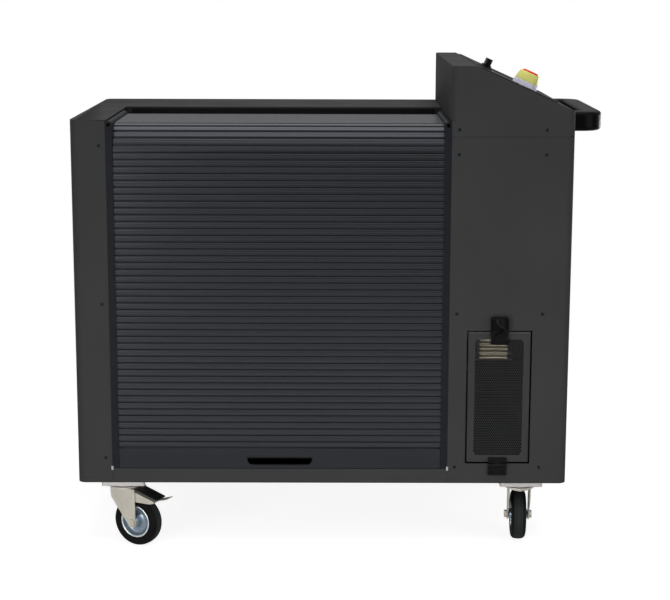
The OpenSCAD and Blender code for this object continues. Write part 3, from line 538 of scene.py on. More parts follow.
def anodised(tree, tone):
    """Dark anodised aluminium, extruded: a satin oxide skin with die lines along the profile."""
    return {
        "Base Color": clouded(tree, tone, 0.92, 1.08, 30, 2),
        "Roughness": uneven(tree, 0.42, 0.54, 1.5, 2, (1, 60, 60)),
        "Specular IOR Level": 0.06,
    }


def zinc_plate(tree, tone, rough=(0.3, 0.4), spread=0.07, lip=None):
    """Pressed steel, zinc plated and passivated: bright, with cloudy tints that spread to both sides of
    the tone. lip is a painted highlight: the near white painted on a rim's rolled edge."""
    return {
        "Base Color": by_mark(tree, clouded(tree, tone, 1 - spread, 1 + spread, 22), lip),
        "Metallic": 0.6,
        "Roughness": uneven(tree, *rough, 9),
        "Normal": grained(tree, 0.004, 3, 1),
    }


def moulded(tree, tone, rough, grain, shine=0.12, gloss=0.0):
    """Injection-moulded polyamide or ABS: a fine spark-eroded grain, under a skin of some gloss."""
    return {
        "Base Color": clouded(tree, tone, 0.9, 1.1, 25),
        "Roughness": uneven(tree, *rough, 12, 3),
        "Specular IOR Level": shine,
        "Coat Weight": gloss,
        "Coat Roughness": 0.12,
        "Normal": grained(tree, grain, 1.2),
    }


def rubber(tree, tone, crown_sheen=None):
    """Vulcanised rubber: matt, with a greyish bloom in cloudy patches. The grey given for the tread is a
    painted sheen: a tyre's crown painted lighter, as gloss at a grazing angle would light it."""
    return {
        "Base Color": by_mark(tree, clouded(tree, tone, 0.85, 1.25, 18, 4), crown_sheen),
        "Roughness": uneven(tree, 0.6, 0.75, 7, 3),
        "Specular IOR Level": 0.1,
        "Normal": grained(tree, 0.02, 0.9, 3),
    }


def screen_glass(tree, tone):
    """Anti-glare glass over a dark display: nearly black and softly etched, with faint smears."""
    return {
        "Base Color": clouded(tree, tone, 0.9, 1.1, 60, 2),
        "Roughness": uneven(tree, 0.22, 0.32, 35, 4),
        "Specular IOR Level": 0.3,
    }


def bright_steel(tree, tone, rough=(0.22, 0.4)):
    """Turned or drawn steel: metallic, with fine tool marks."""
    return {
        "Base Color": clouded(tree, tone, 0.9, 1.05, 9),
        "Metallic": 1.0,
        "Roughness": uneven(tree, *rough, 1.2),
    }


def tank_plastic(tree, tone):
    """Blow-moulded polyethylene: milky and waxy, so light goes a little way in."""
    return {
        "Base Color": clouded(tree, tone, 0.94, 1.04, 70, 2),
        "Roughness": uneven(tree, 0.4, 0.55, 20),
        "Subsurface Weight": 0.15,
        "Subsurface Radius": (0.004, 0.004, 0.003),
        "Subsurface Scale": 1.0,
    }


materials = {}


def make_materials():
    """One material for each of the record's slots, and four for pieces that differ from their slot's."""
    tones = settings().finishes
    kinds = {
        "cabinet_paint": ("Anthracite powder coat", powder_coat, tones.cabinet),
        "door_paint": ("Rubbed powder coat", powder_coat, tones.cabinet, (0.66, 0.76), 1.0),
        "inner_paint": ("Grey inner paint", powder_coat, tones.inner, (0.45, 0.6)),
        "slat": ("Anthracite rail lacquer", slat_lacquer, shade(tones.slat, 0.9), 0.32),
        # The slats' joints are duller and painted darker, a painted shade between the slats
        "slats": ("Anthracite slat lacquer", slat_lacquer, tones.slat, 0.5, 0.32),
        "guide": ("Dark anodised aluminium", anodised, tones.guide),
        "moulded_black": ("Black polyamide", moulded, tones.moulded, (0.3, 0.4), 0.01),
        "pedal": ("Shiny black polyamide", moulded, tones.moulded, (0.3, 0.4), 0.01, 1.0),
        "gloss_black": ("Glossy black ABS", moulded, tones.moulded, (0.12, 0.2), 0.002, 0.12, 0.6),
        "grip": ("Black handle moulding", moulded, tones.grip, (0.3, 0.42), 0.02, 0.06),
        "seal": ("Black rubber seal", rubber, linear("#151213")),
        "zinc": ("Yellowish zinc plating", zinc_plate, tones.zinc),
        "plate": ("Cool zinc plating", zinc_plate, tones.zinc_plate, (0.3, 0.4), 0.02),
        # The rims' rolled lips are painted near white, a painted highlight
        "zinc_blue": (
            "Blue zinc plating", zinc_plate, tones.zinc_blue, (0.2, 0.28), 0.05, linear("#e2e8e6"),
        ),
        # The tyres' crowns are painted a lighter grey, a painted sheen
        "tyre": ("Black tyre rubber", rubber, tones.tyre, linear("#262927")),
        "fastener": ("Blackened steel", bright_steel, linear("#26262a"), (0.35, 0.5)),
        "steel": ("Bright steel", bright_steel, linear("#b9b9b6")),
        "yellow": ("Yellow polycarbonate", moulded, tones.shroud, (0.3, 0.4), 0.004, 0.3),
        "red": ("Red polycarbonate", moulded, tones.head, (0.25, 0.35), 0.004, 0.3),
        "pale_base": ("Pale grey polycarbonate", moulded, tones.base, (0.35, 0.45), 0.006, 0.3),
        "screen": ("Dark display glass", screen_glass, linear("#101319")),
        "fins": ("Lacquered aluminium fins", powder_coat, tones.fins, (0.4, 0.55)),
        "fins_dark": ("Black coated fins", powder_coat, linear("#0e0e10"), (0.5, 0.65)),
        "chassis": ("Light grey chassis paint", powder_coat, linear("#8d9196"), (0.4, 0.5)),
        "tank": ("Milky polyethylene", tank_plastic, linear("#cfd2d2")),
    }
    materials.update((key, material(*kind)) for key, kind in kinds.items())


def slot_of(node):
    """The record's material slot of a CAD node."""
    return next(s["material_slot"] for s in frame["record"]["subparts"] if s["node"] == node)


# Operators --------------------------------------------------------------------------


class MACHINE_OT_finishes(bpy.types.Operator):
    """Makes the materials and gives every CAD node the one of its slot"""

    bl_idname = "machine.finishes"
    bl_label = "Finishes"
    bl_options = {"REGISTER", "UNDO"}

    def execute(self, context):
        make_materials()
        for node, part in frame["nodes"].items():
            for held in part.material_slots:
                held.material = materials[slot_of(node)]
        return {"FINISHED"}


class MACHINE_OT_shutter(bpy.types.Operator):
    """Makes the roller shutter's slats with their rolled edges"""

    bl_idname = "machine.shutter"
    bl_label = "Shutter"
    bl_options = {"REGISTER", "UNDO"}

    curtain_y, rail_top = 3.5, 89              # outer face of the front run, top of the bottom rail
    rail_face = (38, 84)                       # heights between which the bottom rail is rounded less
    rear_y, top_z = 375, 880                   # outer faces of the rear and level runs
    thickness, bend_slats, tail_slats = 7.5, 5, 5
    low_x, high_x = 93, 899                    # ends of the slats, inside the guides
    tongue, overlap = 3.4, 1.8                 # from a face's upper edge to its slat's bulb, and from
                                               # its lower edge to the bulb of the slat below
    first = 0.3                                # height of the lowest slat's face above the bottom rail
    hook, bulb, curl = 3.0, 1.5, (2.8, 1.8)    # depth of the hinges, radii of the bulbs and curls
    lifted_gap = 0.7                           # from the lifted slats down to the bottom rail's bulb

    def execute(self, context):
        s = settings().shutter
        self.pitch = s.pitch / MM
        self.inner = self.pitch * self.bend_slats * 2 / math.pi
        self.outer = self.inner + self.thickness
        self.bend_z = self.top_z - self.outer
        self.bends_y = (self.curtain_y + self.outer, self.rear_y - self.outer)
        self.run = self.bend_z - self.rail_top
        self.bend_arc = math.pi / 2 * self.inner
        level = self.bends_y[1] - self.bends_y[0]
        front = int(self.run / self.pitch)
        whole = int((self.run + 2 * self.bend_arc + level + self.tail_slats * self.pitch) / self.pitch)
        self.slats("shutter_slats_front", range(front), "curtain_front", s)
        self.slats("shutter_slats_upper", range(front, whole), "curtain_upper", s)
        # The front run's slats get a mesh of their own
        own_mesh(bpy.data.objects["shutter_slats_front"])
        low, high = self.rail_face
        softened("bottom_rail", 0.8, 2, 3, weigh=lambda p, n: 0.3 if low <= p[2] <= high else 1.0)
        softened("finger_pull", 0.8, 2, 3)
        softened(("guide_left", "guide_right"), 0.5, 2, 3)
        softened(("corner_guides", "guide_clips", "sill"), 0.6, 2, 3)
        return {"FINISHED"}

    def path(self, s):
        """The point (y, z) at distance s up the slats' inner faces: up the front run, round the front
        bend, back along the level run, round the rear bend and down."""
        front, level = self.run + self.bend_arc, self.bends_y[1] - self.bends_y[0]
        if s < self.run:
            return self.curtain_y + self.thickness, self.rail_top + s
        if s < front:
            return self.round(self.bends_y[0], math.pi - (s - self.run) / self.inner)
        if s < front + level:
            return self.bends_y[0] + s - front, self.bend_z + self.inner
        if s < front + level + self.bend_arc:
            return self.round(self.bends_y[1], math.pi / 2 - (s - front - level) / self.inner)
        return self.bends_y[1] + self.inner, self.bend_z - (s - front - level - self.bend_arc)

    def round(self, y, angle):
        """The point of a bend's inner circle at an angle."""
        return y + self.inner * math.cos(angle), self.bend_z + self.inner * math.sin(angle)

    def outlines(self, s, low):
        """Closed outlines of a slat as (along, out) pairs: its rolled face and tongue, the bulb that the
        slat above hooks round, and the curl at its own lower edge. The face is bowed, with a groove g
        along its middle: out = t - bow * (2 * u - 1) ** 2 - g, for u from 0 to 1 across it."""
        p, t, edge, bow = self.pitch, self.thickness, s.edge / MM, s.bow / MM
        high = p - self.tongue
        lip = min(edge, 1.4)
        u = np.array([0.1, 0.2, 0.3, 0.38, 0.44, 0.47, 0.5, 0.53, 0.56, 0.62, 0.7, 0.78, 0.84])
        groove = np.interp(u, (0.44, 0.47, 0.5, 0.53, 0.56), (0, 0.3, 0.4, 0.3, 0))
        face = np.stack([low + u * (high - low), t - bow * (2 * u - 1) ** 2 - groove], 1)
        lower = arc((low + lip, face[0][1] - lip), lip, 180, 90, 5)
        upper = arc((high - edge, face[-1][1] - edge), edge, 90, 0, 7)
        # The tongue, 1.2 thick, and the back of the face, which is 1.6 thick
        back = [(high, 3.6), (p, 3.6), (p, 2.4), (high - 1.4, 2.4), (high - 1.4, t - 1.6), (low, t - 1.6)]
        bulb = arc((p, self.hook), self.bulb, 0, 324, 10)
        outside = arc((0, self.hook), self.curl[0], -150, 150, 11)
        inside = arc((0, self.hook), self.curl[1], 150, -150, 11)
        return [np.concatenate([lower, face[1:-1], upper, back]), bulb, np.concatenate([outside, inside])]

    def slats(self, name, numbers, node, s):
        """One piece of all slats of a run, marked for painted shade and duller gloss in the joints: mark =
        1 within 0.9 mm of a face's edge and 0 from 2.4 mm, and 1 on what lies less than 4 mm out, such as
        the tongues. The lowest slat has no curl."""
        shells, marks = [], []
        high = self.pitch - self.tongue
        for i in numbers:
            a, b = (np.array(self.path(k * self.pitch)) for k in (i, i + 1))
            along = (b - a) / np.linalg.norm(b - a)
            out = np.array([-along[1], along[0]])
            low = -self.overlap if i else self.first
            for outline in self.outlines(s, low)[:3 if i else 2]:
                section = a + outline[:, :1] * along + outline[:, 1:] * out
                shells.append(prism(section, 0, self.low_x, self.high_x))
                # Painted shade: the joints and the recessed parts such as the tongues are marked to be
                # painted darker
                reach = np.minimum(outline[:, 0] - low, high - outline[:, 0])
                shaded_joint = np.where(outline[:, 1] < 4, 1, np.clip((2.4 - reach) / 1.5, 0, 1))
                marks += 2 * shaded_joint.tolist()
        mark(mesh_piece(name, *joined(shells), node, finish="slats"), marks)


class MACHINE_OT_door(bpy.types.Operator):
    """Makes the filter door's perforated sheet, its hinge and its latch"""

    bl_idname = "machine.door"
    bl_label = "Filter door"
    bl_options = {"REGISTER", "UNDO"}

    sheet, fold, depth = 2.6, 2.4, 12.0        # thickness, outer radius of the folds, their depth
    hinge_gap, seat = 6, 0.3                   # room below the side folds, their overlap with the sheet
    corner, rubbed = 2.2, 2.1                  # corner radius, height of the rubbed strip at the top

    def execute(self, context):
        s = settings().door
        low, high = ((np.array(c) - ORIGIN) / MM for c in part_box("filter_door"))
        self.low, self.high = low[[0, 2]], high[[0, 2]]
        (x0, z0), (x1, z1) = self.low, self.high
        near, wall = self.sheet - self.seat, self.sheet
        z0 += self.hinge_gap
        points, faces = joined([
            self.punched(s),
            block((x0, near, z0), (x0 + wall, self.depth, z1)),
            block((x1 - wall, near, z0), (x1, self.depth, z1)),
            block((x0 + wall, near, z1 - wall), (x1 - wall, self.depth, z1)),
        ])
        sheet = mesh_piece("filter_door_sheet", points, faces, "filter_door", finish="door_paint")
        mark(sheet, (points[:, 2] > z1 - self.rubbed).astype(float))
        softened(("hinge_lower_leaf", "hinge_upper_leaf"), 0.6, 2, 3)
        softened("latch_body", 1.0, 2, 6)
        softened("latch_knob", 0.8, 2, 0.5)
        return {"FINISHED"}

    def outline(self, inset):
        """The sheet's outline, drawn in by inset."""
        (x0, z0), (x1, z1) = self.low + inset, self.high - inset
        return rounded([(x0, z0), (x1, z0), (x1, z1), (x0, z1)], max(0.3, self.corner - inset), 4)

    def sites(self, s):
        """Middles of the holes: rows of a triangular lattice, each row shifted by half a pitch, that lie
        inside the field with its rounded corners."""
        pitch, hole = s.pitch / MM, s.hole / MM
        middle = (self.low + self.high) / 2
        half = np.array([s.field_width, s.field_height]) / MM / 2
        row = pitch * math.sqrt(3) / 2
        count = (half / (pitch, row)).astype(int) + 2
        rows, columns = (np.arange(-n, n + 1) for n in count[::-1])
        j, i = np.meshgrid(rows, columns, indexing="ij")
        places = np.stack([(i + (j % 2) / 2) * pitch, j * row], -1).reshape(-1, 2)
        corner = np.maximum(0, np.abs(places) - half + s.field_corner / MM)
        return middle + places[np.hypot(*corner.T) < s.field_corner / MM - hole / 2]

    def punched(self, s):
        """The flat sheet: a hexagon round each hole, as twelve quads between the hole's edge and the
        hexagon's, and triangles from the hexagons to the outline. The outline's edge is rounded over:
        inset = r * (1 - sin(a)), depth = r * (1 - cos(a)), for a from 0 to a quarter turn."""
        pitch, hole = s.pitch / MM, s.hole / MM
        sites = self.sites(s)
        a = np.radians(np.arange(12) * 30)
        ring = np.stack([np.cos(a), np.sin(a)], 1)
        reach = np.where(np.arange(12) % 2, pitch / math.sqrt(3), pitch / 2)[:, None]
        cells = (sites[:, None] + ring * reach).reshape(-1, 2)
        rims = (sites[:, None] + ring * hole / 2).reshape(-1, 2)
        cells, where = np.unique(np.round(cells, 4), axis=0, return_inverse=True)
        where = where.reshape(-1, 12)
        ahead = np.roll(where, -1, axis=1)
        pairs = set(zip(where.ravel().tolist(), ahead.ravel().tolist()))
        border = [p for p in pairs if (p[1], p[0]) not in pairs]
        used = sorted({i for p in border for i in p})
        number = {v: k for k, v in enumerate(used)}
        outline = self.outline(self.fold)
        start, n = len(used), len(outline)
        edges = [(number[p], number[q]) for p, q in border]
        edges += [(start + i, start + (i + 1) % n) for i in range(n)]
        made, triangles = triangulated(np.concatenate([cells[used], outline]), edges, 0)
        middles = made[triangles].mean(axis=1)[:, None] - sites[None]
        across = np.radians([0, 60, 120])
        reach = np.abs(middles @ np.stack([np.cos(across), np.sin(across)])).max(axis=-1)
        triangles = triangles[(reach > pitch / 2 + 1e-3).all(axis=1)]
        # The front's points: hexagons, holes, then the triangles' own
        front = np.concatenate([cells, rims, made])
        holes = len(cells) + np.arange(len(rims)).reshape(-1, 12)
        holes_ahead = np.roll(holes, -1, axis=1)
        faces = np.stack([holes, holes_ahead, ahead, where], -1).reshape(-1, 4).tolist()
        faces += (triangles + len(cells) + len(rims)).tolist()
        count = len(front)
        walls = np.stack([holes, holes_ahead, holes_ahead + count, holes + count], -1)
        back = [[i + count for i in face[::-1]] for face in faces]
        points = np.concatenate([np.insert(front, 1, y, axis=1) for y in (0.0, self.sheet)])
        a = np.linspace(0, math.pi / 2, 5)
        levels = [(self.fold * (1 - math.sin(k)), self.fold * (1 - math.cos(k))) for k in a]
        levels += [(0, self.sheet), (self.fold, self.sheet)]
        rings = [np.insert(self.outline(inset), 1, y, axis=1) for inset, y in levels]
        strip = grid_faces(len(rings), n, False, True, len(points)).tolist()
        points = np.concatenate([points, *rings])
        mesh = bpy.data.meshes.new("sheet")
        mesh.from_pydata(points.tolist(), [], faces + walls.reshape(-1, 4).tolist() + back + strip)
        merged(mesh, 2e-3)
        points, faces = points_of(mesh), [tuple(p.vertices) for p in mesh.polygons]
        bpy.data.meshes.remove(mesh)
        return points, faces


class MACHINE_OT_cabinet(bpy.types.Operator):
    """Rounds the folds and edges of the cabinet's sheets, and makes its screws"""

    bl_idname = "machine.cabinet"
    bl_label = "Cabinet"
    bl_options = {"REGISTER", "UNDO"}

    def execute(self, context):
        middle = np.array([CABINET_W, CABINET_D, CABINET_H]) / 2
        outside = lambda p, n: 1.0 if convex(p, n, middle) else 0.35
        softened(("left_panel", "right_panel"), 0.9, 2, 6, weigh=outside)
        on_top = lambda p, n: 1.0 if p[2] > CABINET_H - 1 and convex(p, n, middle) else 0.2
        softened("top_deck", 1.8, 4, 6, weigh=on_top)
        self.screws()
        return {"FINISHED"}

    def screws(self):
        """Button heads with a hexagon socket."""
        shells = []
        rows = [
            (-1, 0, (69,), (63, 447, 829)), (-1, 0, (925, 1132), (41, 425, 810, 869)),
            (1, CABINET_D, (69, 1131), (41, 425, 810)),
        ]
        for side, y, across, up in rows:
            shells += [self.screw((x, y, z), side) for x in across for z in up]
        mesh_piece("panel_screw_heads", *joined(shells), "panel_screws", merge=True)

    def screw(self, place, side):
        """A button head: rings from the socket's floor out over the dome to the sheet. The socket's
        rings follow a hexagon: r = apothem / cos(a - the nearest multiple of 60 degrees)."""
        a = np.radians(np.arange(24) * 15)
        six = 1 / np.cos((a + math.pi / 6) % (math.pi / 3) - math.pi / 6)
        t = np.linspace(0, math.pi / 2, 5)
        dome = np.stack([1.6 + 2.3 * np.sin(t), 0.2 + 1.3 * np.cos(t)], 1)
        rings = np.concatenate([[(0, 0.5), (1.3, 0.5), (1.3, 1.45)], dome, [(3.9, -1), (0, -1)]])
        socket = (np.arange(len(rings)) < 3)[:, None]
        radius = rings[:, :1] * np.where(socket, six, 1)
        points = np.stack([radius * np.cos(a), side * rings[:, 1:] + 0 * a, radius * np.sin(a)], -1) + place
        return points, grid_faces(len(rings), 24, False, True)


class MACHINE_OT_console(bpy.types.Operator):
    """Rounds the console's bends, and makes its display, emergency stop and selector"""

    bl_idname = "machine.console"
    bl_label = "Console"
    bl_options = {"REGISTER", "UNDO"}

    stop, selector = (141, 150), (36, 150)     # their middles, down the slope and across it
    stop_cut, selector_cut = 33.5, 22.0        # radii of the cut-outs round them
    display = ((41, 224), (208, 496))          # two corners of the cut-out round the display
    plate = ((11, 5), (212, 692))              # two corners of the face plate
    proud, sunk = 2.2, -0.2                    # the plate's face and foot above the slope
    seam = 853.5                               # just above the casing's lower edge

    def execute(self, context):
        middle = np.array([COLUMN_X + 120, CABINET_D / 2, CABINET_H + 45])   # a point inside the casing

        def bends(p, n):
            """The full radius on the casing's bends, a little of it on the lower edge, and none in the
            cut-outs, which lie more than 5 mm inside the casing's outline."""
            if p[2] < self.seam:
                return 0.2
            ends = not (5 <= p[1] <= CABINET_D - 5 and COLUMN_X + 5 <= p[0] <= CABINET_W - 5)
            top = p[2] > SLOPE_Z - 5
            return 1.0 if (ends or top) and convex(p, n, middle) else 0.0

        softened("console_housing", 2.4, 4, 0.8, weigh=bends)
        softened("push_handle", 1.2, 3, 3)
        softened("display", 0.6, 2, 10)
        softened("selector_bezel", 1.0, 3, 0.5)
        softened("selector_knob", 1.6, 3, 0.5)
        self.face_plate()
        normal = (math.sin(SLOPE), 0, math.cos(SLOPE))
        self.emergency_stop(on_slope(*self.stop), normal)
        return {"FINISHED"}

    def face_plate(self):
        """A black plate on the slope, cut out round the display, the emergency stop and the selector: a
        triangulated sheet with its edges drawn down to the slope."""
        corners = lambda low, high: [low, (high[0], low[1]), high, (low[0], high[1])]
        circles = ((self.stop, self.stop_cut), (self.selector, self.selector_cut))
        a = np.linspace(0, TAU, 48, endpoint=False)
        ring = np.stack([np.cos(a), np.sin(a)], 1)
        loops = [rounded(corners(*self.plate), 3, 4), rounded(corners(*self.display), 1.0, 3)]
        loops += [np.array(middle) + radius * ring for middle, radius in circles]
        edges, start = [], 0
        for loop in loops:
            n = len(loop)
            edges += [(start + i, start + (i + 1) % n) for i in range(n)]
            start += n
        made, triangles = triangulated(np.concatenate(loops), edges, 1)
        middles = made[triangles].mean(axis=1)
        low, high = self.display
        cut = ((middles > low) & (middles < high)).all(axis=1)
        for middle, radius in circles:
            cut |= np.hypot(*(middles - middle).T) < radius
        triangles = triangles[~cut]
        sides = [np.stack(on_slope(made[:, 0], made[:, 1], out), 1) for out in (self.proud, self.sunk)]
        count = len(made)
        walls = [(i, j, j + count, i + count) for i, j in edges]
        faces = triangles.tolist() + (triangles[:, ::-1] + count).tolist() + walls
        mesh_piece(
            "console_face_plate", np.concatenate(sides), faces, "console_housing", instead=False,
            slot="moulded_black",
        )

    def emergency_stop(self, place, normal):
        """A pale base, a yellow shroud that narrows upwards, and a red mushroom head."""
        base = rounded(
            [(7.1, -18), (11, -18), (11, 0), (32.5, 0), (32.5, 3.5), (30.5, 14), (7.1, 14)],
            [0, 0, 0, 0.4, 0.8, 1.2, 0], 4,
        )
        turned_piece("stop_base_ring", base, place, normal, "estop_base")
        shroud = rounded([(22.5, 14), (30, 14), (25, 36.6), (22.5, 36.6)], [0, 0.6, 1.0, 0.9], 4)
        turned_piece("stop_shroud_cone", shroud, place, normal, "estop_shroud")
        head = rounded([
            (0, 24.6), (10, 24.6), (14, 26.6), (20, 28.6), (20, 38.6), (18.5, 40.4), (12, 41.1), (0, 41.2),
        ], [0, 0, 2, 1, 0, 2.0, 6, 0], 5)
        turned_piece("stop_head", head, place, normal, "estop_button")


class MACHINE_OT_casters(bpy.types.Operator):
    """Makes the casters' tyres, rims and pedals, and rounds their pressed sheets"""

    bl_idname = "machine.casters"
    bl_label = "Casters"
    bl_options = {"REGISTER", "UNDO"}

    def execute(self, context):
        s = settings().casters
        for name in CASTERS:
            centre = in_caster(name, (TRAIL, 0, AXLE_Z))
            heading = math.radians(CASTERS[name][2])
            axis = (-math.sin(heading), math.cos(heading), 0)
            wheel = (centre, axis)
            rim = turned_piece("wheel_%s_rim" % name, self.rim(s), *wheel, "caster_%s_rim" % name, sharp=40)
            # The rim's outer edge, from the lip outwards, is marked for its painted highlight
            lip = RIM_R - s.rim_lip / MM
            mark(rim, np.clip((self.reach(rim, *wheel) - lip + 1.5) / 1.5, 0, 1))
            node = "caster_%s_tyre" % name
            tyre = turned_piece("wheel_%s_tyre" % name, self.tyre(s), *wheel, node, steps=120, sharp=50)
            # The tyre's crown is marked for its painted sheen
            mark(tyre, np.clip((self.reach(tyre, *wheel) - WHEEL_R + 1.6) / 0.8, 0, 1))
            softened("caster_%s_fork" % name, 0.9, 2, 2.5)
        for name in ("fl", "rl"):
            softened("caster_%s_lever" % name, 0.7, 2, 1.5)
            softened("caster_%s_pedal" % name, 1.6, 3, 2, finish="pedal")
            self.ribs(name)
        softened("caster_plates", 1.4, 3, 3, finish="plate")
        return {"FINISHED"}

    def reach(self, piece, centre, axis):
        """The distance of each point of a wheel's piece from its axis, in millimetres."""
        points = (points_of(piece.data) - placed(centre)) / MM
        return np.hypot(points[:, 2], points[:, 0] * axis[1] - points[:, 1] * axis[0])

    def rim(self, s):
        """Half outline (radius, width) of a pressed rim, mirrored to the other side: a hub, a dish and
        a rolled lip."""
        lip = s.rim_lip / MM
        side = [
            (6, 23.2), (10.5, 23.2), (12.6, 22.4), (13.3, 20.5), (13.6, 13), (14.6, 9.4), (17, 6.8),
            (20.5, 5.2), (24.5, 4.6), (28, 5.0), (31, 6.6), (33.4, 9.4), (35, 13),
            (RIM_R - lip - 1.9, 14.6), (RIM_R - lip - 0.8, 15.7), (RIM_R - lip * 0.6, 16.2),
            (RIM_R - 0.8, 16), (RIM_R, 15.2),
        ]
        return np.array(side + [(r, -w) for r, w in side[::-1]])

    def tyre(self, s):
        """Half outline of a tyre: bead, flat side with a raised ring, round shoulder and a crown that
        falls off as the square of the width, with a groove near each edge."""
        w, r = TYRE_W / 2, s.tread_radius / MM
        side = [
            (RIM_R, 16.2), (RIM_R + 1.4, 17.6), (RIM_R + 3, w - 0.7), (46.5, w - 0.5), (47, w), (48.4, w),
            (48.9, w - 0.5),
        ]
        shoulder = arc((w - 0.4 - r, WHEEL_R - 0.5 - r), r, 0, 90, 9)[:, ::-1]
        edge = shoulder[-1][1]
        crown = [(WHEEL_R - 0.5 * (y / edge) ** 2 - groove, y) for y, groove in (
            (edge * 0.93, 0), (edge * 0.9, 1), (edge * 0.78, 1), (edge * 0.75, 0), (edge * 0.4, 0), (0, 0))]
        half = side + shoulder.tolist() + crown
        return np.array(half + [(p, -q) for p, q in half[-2::-1]])

    def ribs(self, name):
        """Ribs across a pedal, against slipping: six trapezes, 2.8 wide at the foot and 1.8 at the crest,
        spread evenly from a to b along its top."""
        shells = []
        a, b = np.array([50, -22.9]), np.array([97, -37.7])
        along = (b - a) / np.linalg.norm(b - a)
        out = np.array([-along[1], along[0]])
        section = np.array([(-1.4, -0.8), (1.4, -0.8), (0.9, 0.7), (-0.9, 0.7)])
        for k in range(6):
            outline = a + (b - a) * (k + 0.5) / 6 + section[:, :1] * along + section[:, 1:] * out
            points, faces = prism(outline, 1, -18, 18)
            shells.append((in_caster(name, points), faces))
        piece, node = "pedal_%s_ribs" % name, "caster_%s_pedal" % name
        mesh_piece(piece, *joined(shells), node, instead=False, finish="pedal")


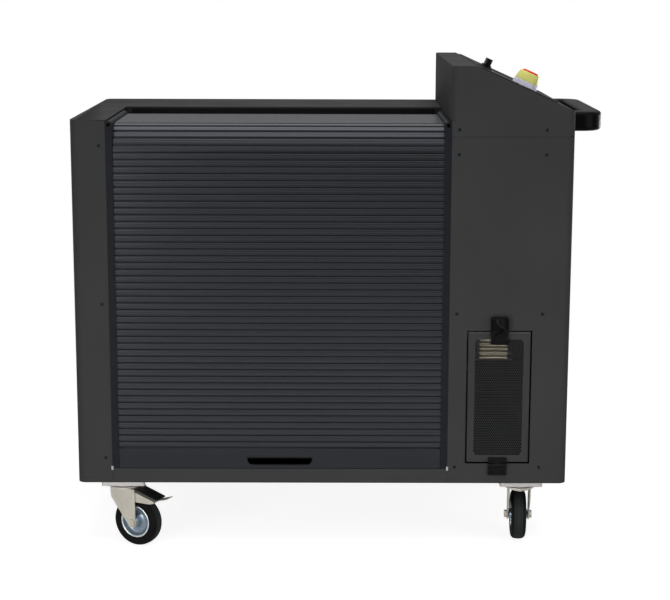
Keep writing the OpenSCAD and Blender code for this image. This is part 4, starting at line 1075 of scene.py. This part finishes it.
class MACHINE_OT_stage(bpy.types.Operator):
    """Makes the floor, the lamps, the sky and the camera"""

    bl_idname = "machine.stage"
    bl_label = "Stage"
    bl_options = {"REGISTER", "UNDO"}

    def execute(self, context):
        studio = settings().studio
        self.make_camera(studio)
        self.make_floor(studio)
        self.make_sky(studio)
        lamps = (
            ("Key lamp", (-2.3, -4.0, 0.8), (0, 0, 0.55), (2.4, 1.6), studio.key),
            ("Fill lamp", (3.4, -2.6, 1.2), (0.3, 0, 0.8), (2.0, 2.0), studio.fill),
            ("Low lamp", (-0.1, -1.7, 0.05), (-0.1, 0, 0.2), (3.2, 0.3), studio.low),
            ("Top lamp", (0.3, -0.6, 2.6), (0.3, -0.6, 0.9), (2.4, 2.6), studio.top),
            ("Rear lamp left", (-3.4, 3.2, 0.45), (0, 0, 0.5), (2.4, 0.6), studio.rear),
            ("Rear lamp right", (3.4, 3.2, 0.45), (0, 0, 0.5), (2.4, 0.6), studio.rear),
        )
        for lamp in lamps:
            self.make_lamp(*lamp)
        bpy.data.objects["Low lamp"].visible_glossy = False
        bpy.context.scene.view_settings.view_transform = "Standard"
        return {"FINISHED"}

    def make_camera(self, studio):
        """In front of the machine and a little above it, looking slightly down: turned by a roll about its
        own axis, then up from straight down, then about the vertical."""
        camera = in_scene("Camera", bpy.data.cameras.new("Camera"))
        camera.data.lens = studio.lens
        camera.data.sensor_width = 36
        pitch, yaw, roll = math.radians(10.87), math.radians(-0.08), math.radians(0.153)
        camera.matrix_world = (
            Matrix.Translation((-0.0175, -4.3561, 1.398))
            @ Matrix.Rotation(yaw, 4, "Z")
            @ Matrix.Rotation(math.pi / 2 - pitch, 4, "X")
            @ Matrix.Rotation(roll, 4, "Z")
        )
        bpy.context.scene.camera = camera

    def make_floor(self, studio):
        """A wide plain floor. Where the camera, gloss and glass look, it turns from its own colour, with
        the machine's shadow on it, into the plain white of the sky further off. Gloss sees the floor
        near the machine as bright and the rest as a dim room."""
        half = 200
        mesh = bpy.data.meshes.new("Floor")
        corners = [(-half, -half, 0), (half, -half, 0), (half, half, 0), (-half, half, 0)]
        mesh.from_pydata(corners, [], [(0, 1, 2, 3)])
        paint = bpy.data.materials.new("Studio floor")
        tree = emptied(paint)
        place = add(tree, "ShaderNodeTexCoord").outputs["Object"]
        far = add(tree, "ShaderNodeVectorMath", (place,), operation="LENGTH").outputs["Value"]
        matt = add(tree, "ShaderNodeBsdfDiffuse", (studio.floor,))
        lift = add(tree, "ShaderNodeEmission", (WHITE, studio.lift))
        near = add(tree, "ShaderNodeAddShader", (matt, lift))
        glow = add(tree, "ShaderNodeEmission", (WHITE, 1.0))
        white = add(tree, "ShaderNodeMapRange", (far, 1.2, 3.0, 0.0, 1.0))
        seen = add(tree, "ShaderNodeMixShader", (white, near, glow))
        gloss = add(tree, "ShaderNodeMapRange", (far, 1.0, 6.0, studio.near, studio.room))
        add(tree, "ShaderNodeOutputMaterial", (self.looks(tree, gloss, matt, seen),))
        mesh.materials.append(paint)
        in_scene("Floor", mesh)

    def looks(self, tree, gloss, lit, seen):
        """One shader for rays that light and another for rays of the camera. Rays of gloss and glass take
        a share of the second, given by gloss."""
        ray = add(tree, "ShaderNodeLightPath")
        shiny = add(
            tree, "ShaderNodeMath", (ray.outputs["Is Glossy Ray"], ray.outputs["Is Transmission Ray"]),
            operation="MAXIMUM",
        )
        shiny = add(tree, "ShaderNodeMath", (shiny, gloss), operation="MULTIPLY")
        looked = add(tree, "ShaderNodeMath", (ray.outputs["Is Camera Ray"], shiny), operation="MAXIMUM")
        return add(tree, "ShaderNodeMixShader", (looked, lit, seen))

    def make_sky(self, studio):
        """White where the camera looks, and softer where it lights. Gloss sees a white sheet behind the
        machine that is brightest well above the horizon, and in front a dim floor and a lighter wall:
        the greater of two products, each of one range over the ray's y and one over its z."""
        world = bpy.data.worlds.new("Studio")
        tree = emptied(world)
        ray = add(tree, "ShaderNodeTexCoord").outputs["Generated"]
        ray = add(tree, "ShaderNodeSeparateXYZ", (ray,))
        sheet = ((-0.1, 0.3, 0.0, 1.0), (0.15, 0.5, studio.behind, 1.0))
        wall = ((-0.3, 0.0, studio.front, 0.0), (0.02, 0.1, studio.room, 1.0))
        parts = []
        for across, up in (sheet, wall):
            across = add(tree, "ShaderNodeMapRange", (ray.outputs["Y"], *across))
            up = add(tree, "ShaderNodeMapRange", (ray.outputs["Z"], *up))
            parts.append(add(tree, "ShaderNodeMath", (across, up), operation="MULTIPLY"))
        gloss = add(tree, "ShaderNodeMath", parts, operation="MAXIMUM")
        soft = add(tree, "ShaderNodeBackground", (WHITE, studio.sky))
        white = add(tree, "ShaderNodeBackground", (WHITE, 1.0))
        add(tree, "ShaderNodeOutputWorld", (self.looks(tree, gloss, soft, white),))
        bpy.context.scene.world = world

    def make_lamp(self, name, place, target, size, watts):
        """A rectangular lamp at a place, turned to a target and hidden from the camera."""
        lamp = in_scene(name, bpy.data.lights.new(name, "AREA"))
        lamp.data.shape = "RECTANGLE"
        lamp.data.size, lamp.data.size_y = size
        lamp.data.energy = watts
        lamp.visible_camera = False
        lamp.location = place
        lamp.rotation_euler = (Vector(target) - Vector(place)).to_track_quat("-Z", "Y").to_euler()


OPERATORS = (
    MACHINE_OT_finishes,
    MACHINE_OT_cabinet,
    MACHINE_OT_shutter,
    MACHINE_OT_door,
    MACHINE_OT_console,
    MACHINE_OT_casters,
    MACHINE_OT_stage,
)


class MACHINE_PT_panel(bpy.types.Panel):
    """Lists the machine's operators and settings"""

    bl_label = "Laser cleaning machine"
    bl_idname = "MACHINE_PT_panel"
    bl_space_type = "VIEW_3D"
    bl_region_type = "UI"
    bl_category = "Machine"

    def draw(self, context):
        for operator in OPERATORS:
            self.layout.operator(operator.bl_idname)
        machine = context.scene.machine
        for group in (machine.finishes, machine.shutter, machine.door, machine.casters, machine.studio):
            box = self.layout.box()
            for name in group.__annotations__:
                box.prop(group, name)


CLASSES = (
    MachineFinishes, ShutterSettings, DoorSettings, CasterSettings, StudioSettings, MachineSettings,
    *OPERATORS, MACHINE_PT_panel,
)


def register():
    for item in CLASSES:
        bpy.utils.register_class(item)
    bpy.types.Scene.machine = PointerProperty(type=MachineSettings)


def unregister():
    del bpy.types.Scene.machine
    for item in reversed(CLASSES):
        bpy.utils.unregister_class(item)


def main():
    """Makes the whole machine."""
    register()
    bpy.ops.machine.finishes()
    bpy.ops.machine.cabinet()
    bpy.ops.machine.shutter()
    bpy.ops.machine.door()
    bpy.ops.machine.console()
    bpy.ops.machine.casters()
    bpy.ops.machine.stage()


if __name__ == "__main__":
    main()
